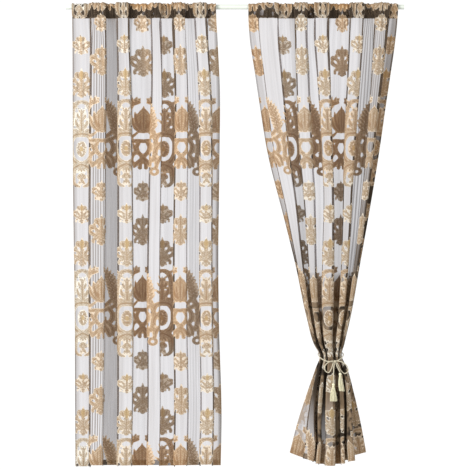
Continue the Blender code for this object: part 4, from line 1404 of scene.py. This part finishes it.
class CURTAIN_PG_cloth(bpy.types.PropertyGroup):
    """What the voile and its woven figures are made of."""

    thread_pitch: number_property(
        "Thread pitch", "Distance between neighbouring threads of the voile", 0.0009,
        min=0.0003, max=0.003, unit="LENGTH",
    )
    cover: number_property(
        "Cover", "Share of the flat voile that its threads cover", 0.24,
        min=0.05, max=0.95, subtype="FACTOR",
    )
    crease_cover: number_property(
        "Crease cover", "Cover that a crease adds", 0.42, min=0.0, max=1.0, subtype="FACTOR",
    )
    voile_colour: colour_property(
        "Voile colour", "Colour of the voile's threads", (0.080, 0.056, 0.036),
    )
    motif_colour: colour_property(
        "Figure colour", "Cream yarn of the woven figures", (0.72, 0.68, 0.585),
    )
    motif_dark: colour_property(
        "Figure second colour", "Warmer yarn of the woven figures", (0.61, 0.53, 0.40),
    )
    motif_shadow: colour_property(
        "Figure shadow colour", "Veins and grooves of the figures", (0.38, 0.26, 0.15),
    )
    outline_colour: colour_property(
        "Outline colour", "Pale yarn round each leaf", (0.88, 0.85, 0.76),
    )
    # Figures behind take this colour as seen through the front layer and in painted shade
    shaded_behind_colour: colour_property(
        "Colour behind", "Figures on the layers behind, seen through gathered voile",
        (0.32, 0.225, 0.14),
    )
    gold_colour: colour_property(
        "Gold colour", "Gold yarn in the palmettes' buds", (0.57, 0.41, 0.17),
    )
    # Painted shade: the tint that darkens the figures in the folds that lie back
    shade_tint: colour_property(
        "Tan tint", "What multiplies the figures' colour in the folds that lie back",
        (0.80, 0.45, 0.135),
    )


class CURTAIN_PG_tie(bpy.types.PropertyGroup):
    """The tie's cord and tassels."""

    cord_colour: colour_property("Cord colour", "Satin cord of the tie", (0.62, 0.58, 0.46))
    cord_dark: colour_property("Cord shade", "Between the cord's fibres", (0.36, 0.30, 0.19))
    tassel_colour: colour_property("Tassel colour", "Yarn of the tassels", (0.82, 0.79, 0.60))
    tassel_dark: colour_property("Tassel shade", "Between the tassels' fibres", (0.55, 0.50, 0.30))


class CURTAIN_PG_stage(bpy.types.PropertyGroup):
    """Rod finish, floor, camera and light."""

    rod_colour: colour_property("Rod colour", "Paint on the rod", (0.62, 0.66, 0.60))
    floor_colour: colour_property(
        "Floor colour", "Plain floor under the curtains", (0.82, 0.81, 0.79),
    )
    floor_height: number_property(
        "Floor height", "Floor's height from the rod's axis", -2.25, unit="LENGTH",
    )
    floor_radius: number_property(
        "Floor radius", "Radius of the round floor", 0.93, min=0.1, unit="LENGTH",
    )
    camera_distance: number_property(
        "Camera distance", "From the camera to the rod's plane", 9.0, min=1.0, unit="LENGTH",
    )
    view_width: number_property(
        "View width", "Width of the view at the rod's plane", 2.1667, min=0.1, unit="LENGTH",
    )
    view_height: number_property(
        "View height", "Height of the view's middle from the rod's axis", -1.051, unit="LENGTH",
    )
    backdrop: number_property(
        "Backdrop", "Brightness of the plain white behind the curtains", 1.06, min=0.0,
    )
    room_light: number_property(
        "Room light", "Brightness of the soft light from all round", 0.75, min=0.0,
    )
    key_power: number_property(
        "Key light", "Power of the soft light at the left", 270.0, min=0.0, unit="POWER",
    )


def settings():
    """The scene's settings for the cloth, the tie and the stage."""
    scene = bpy.context.scene
    return scene.curtain_cloth, scene.curtain_tie, scene.curtain_stage


# -------------------------------------------------- operators

class CURTAIN_OT_camera(bpy.types.Operator):
    """Set the camera in front of the curtains"""

    bl_idname = "curtain.camera"
    bl_label = "Camera"

    def execute(self, context):
        stage = settings()[2]
        data = bpy.data.cameras.new("camera")
        data.sensor_width = 36.0
        data.lens = data.sensor_width * stage.camera_distance / stage.view_width
        data.dof.use_dof = False
        camera = bpy.data.objects.new("camera", data)
        camera.location = (0.0, -stage.camera_distance, stage.view_height)
        camera.rotation_euler = (math.pi / 2, 0.0, 0.0)
        context.scene.collection.objects.link(camera)
        context.scene.camera = camera
        return {"FINISHED"}


class CURTAIN_OT_tie(bpy.types.Operator):
    """Twist the tie's band, knot, bow and free ends, and hang the tassels"""

    bl_idname = "curtain.tie"
    bl_label = "Tie and tassels"

    def execute(self, context):
        tie = settings()[1]
        cord = yarn_material("satin_cord", tuple(tie.cord_colour), tuple(tie.cord_dark))
        yarn = yarn_material("tassel_yarn", tuple(tie.tassel_colour), tuple(tie.tassel_dark))
        add_band(cord)
        add_knot(cord)
        cords = add_bow_and_tails(cord)
        tassels = {
            sizes["route"]: add_tassel(name, sizes, yarn, seed)
            for seed, (name, sizes) in enumerate(TASSELS.items(), 3)
        }
        return {"FINISHED"}


class CURTAIN_OT_curtains(bpy.types.Operator):
    """Hang both curtains, with their woven figures"""

    bl_idname = "curtain.curtains"
    bl_label = "Curtains"

    def execute(self, context):
        cloth = settings()[0]
        chart = Chart().finish()
        materials = {"voile": voile_material(cloth), "damask": damask_material(cloth)}
        for side, tables in CURTAINS.items():
            flat = add_curtain(side, Drape(*tables), chart, materials)
            print(side, "cloth", [round(x, 3) for x in flat])
        return {"FINISHED"}


class CURTAIN_OT_rod(bpy.types.Operator):
    """Paint the rod"""

    bl_idname = "curtain.rod"
    bl_label = "Rod"

    def execute(self, context):
        paint = rod_material(tuple(settings()[2].rod_colour))
        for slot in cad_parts["rod"].material_slots:
            slot.material = paint
        return {"FINISHED"}


class CURTAIN_OT_stage(bpy.types.Operator):
    """Lay the floor, and set the soft lights and the white backdrop"""

    bl_idname = "curtain.stage"
    bl_label = "Stage"

    def execute(self, context):
        stage = settings()[2]
        turns = np.linspace(0, math.tau, FLOOR_SIDES, endpoint=False)
        x, y = stage.floor_radius * np.cos(turns), stage.floor_radius * np.sin(turns)
        rim = np.column_stack([x, y, np.full(FLOOR_SIDES, stage.floor_height)])
        mesh = bpy.data.meshes.new("floor")
        mesh.from_pydata(rim.tolist(), [], [list(range(FLOOR_SIDES))])
        mesh.materials.append(floor_material(tuple(stage.floor_colour)))
        floor = bpy.data.objects.new("floor", mesh)
        context.scene.collection.objects.link(floor)
        self.lights(context, stage)
        self.backdrop(context, stage)
        context.scene.view_settings.view_transform = "Standard"
        return {"FINISHED"}

    def lights(self, context, stage):
        """A soft key light at the left and a weak fill at the right."""
        for name, place, aim, size, share in LIGHTS:
            data = bpy.data.lights.new(name, "AREA")
            data.energy, data.size = stage.key_power * share, size
            light = bpy.data.objects.new(name, data)
            light.location = place
            towards = Vector(aim) - Vector(place)
            light.rotation_euler = towards.to_track_quat("-Z", "Y").to_euler()
            context.scene.collection.objects.link(light)

    def backdrop(self, context, stage):
        """White where the camera sees past the curtains, and softer as the room's light."""
        world = bpy.data.worlds.new("white_room")
        world.use_nodes = True
        tree = world.node_tree
        tree.nodes.clear()
        rays = tree.nodes.new("ShaderNodeLightPath")
        seen, lit = (tree.nodes.new("ShaderNodeBackground") for _ in range(2))
        seen.inputs["Color"].default_value = (1.0, 1.0, 1.0, 1.0)
        seen.inputs["Strength"].default_value = stage.backdrop
        lit.inputs["Color"].default_value = (1.0, 0.99, 0.97, 1.0)
        lit.inputs["Strength"].default_value = stage.room_light
        mix = tree.nodes.new("ShaderNodeMixShader")
        output = tree.nodes.new("ShaderNodeOutputWorld")
        for a, b in (
            (rays.outputs["Is Camera Ray"], mix.inputs[0]), (lit.outputs[0], mix.inputs[1]),
            (seen.outputs[0], mix.inputs[2]), (mix.outputs[0], output.inputs["Surface"]),
        ):
            tree.links.new(a, b)
        context.scene.world = world


class CURTAIN_PT_panel(bpy.types.Panel):
    """Sizes, colours and steps of the curtain pair"""

    bl_label = "Curtains"
    bl_idname = "CURTAIN_PT_panel"
    bl_space_type = "VIEW_3D"
    bl_region_type = "UI"
    bl_category = "Curtains"

    def draw(self, context):
        layout = self.layout
        for operator, group in STEPS:
            box = layout.box()
            box.operator(operator)
            values = getattr(context.scene, group)
            for name in values.__annotations__:
                box.prop(values, name)


STEPS = (
    ("curtain.camera", "curtain_stage"),
    ("curtain.tie", "curtain_tie"),
    ("curtain.curtains", "curtain_cloth"),
    ("curtain.rod", "curtain_stage"),
    ("curtain.stage", "curtain_stage"),
)
GROUPS = {
    "curtain_cloth": CURTAIN_PG_cloth,
    "curtain_tie": CURTAIN_PG_tie,
    "curtain_stage": CURTAIN_PG_stage,
}
CLASSES = (
    *GROUPS.values(), CURTAIN_OT_camera, CURTAIN_OT_tie, CURTAIN_OT_curtains, CURTAIN_OT_rod,
    CURTAIN_OT_stage, CURTAIN_PT_panel,
)


def register():
    for cls in CLASSES:
        bpy.utils.register_class(cls)
    for name, group in GROUPS.items():
        setattr(bpy.types.Scene, name, bpy.props.PointerProperty(type=group))


def unregister():
    for name in GROUPS:
        delattr(bpy.types.Scene, name)
    for cls in reversed(CLASSES):
        bpy.utils.unregister_class(cls)


def main():
    """Run every step in turn."""
    register()
    for operator, _ in STEPS:
        group, name = operator.split(".")
        getattr(getattr(bpy.ops, group), name)()


if __name__ == "__main__":
    main()
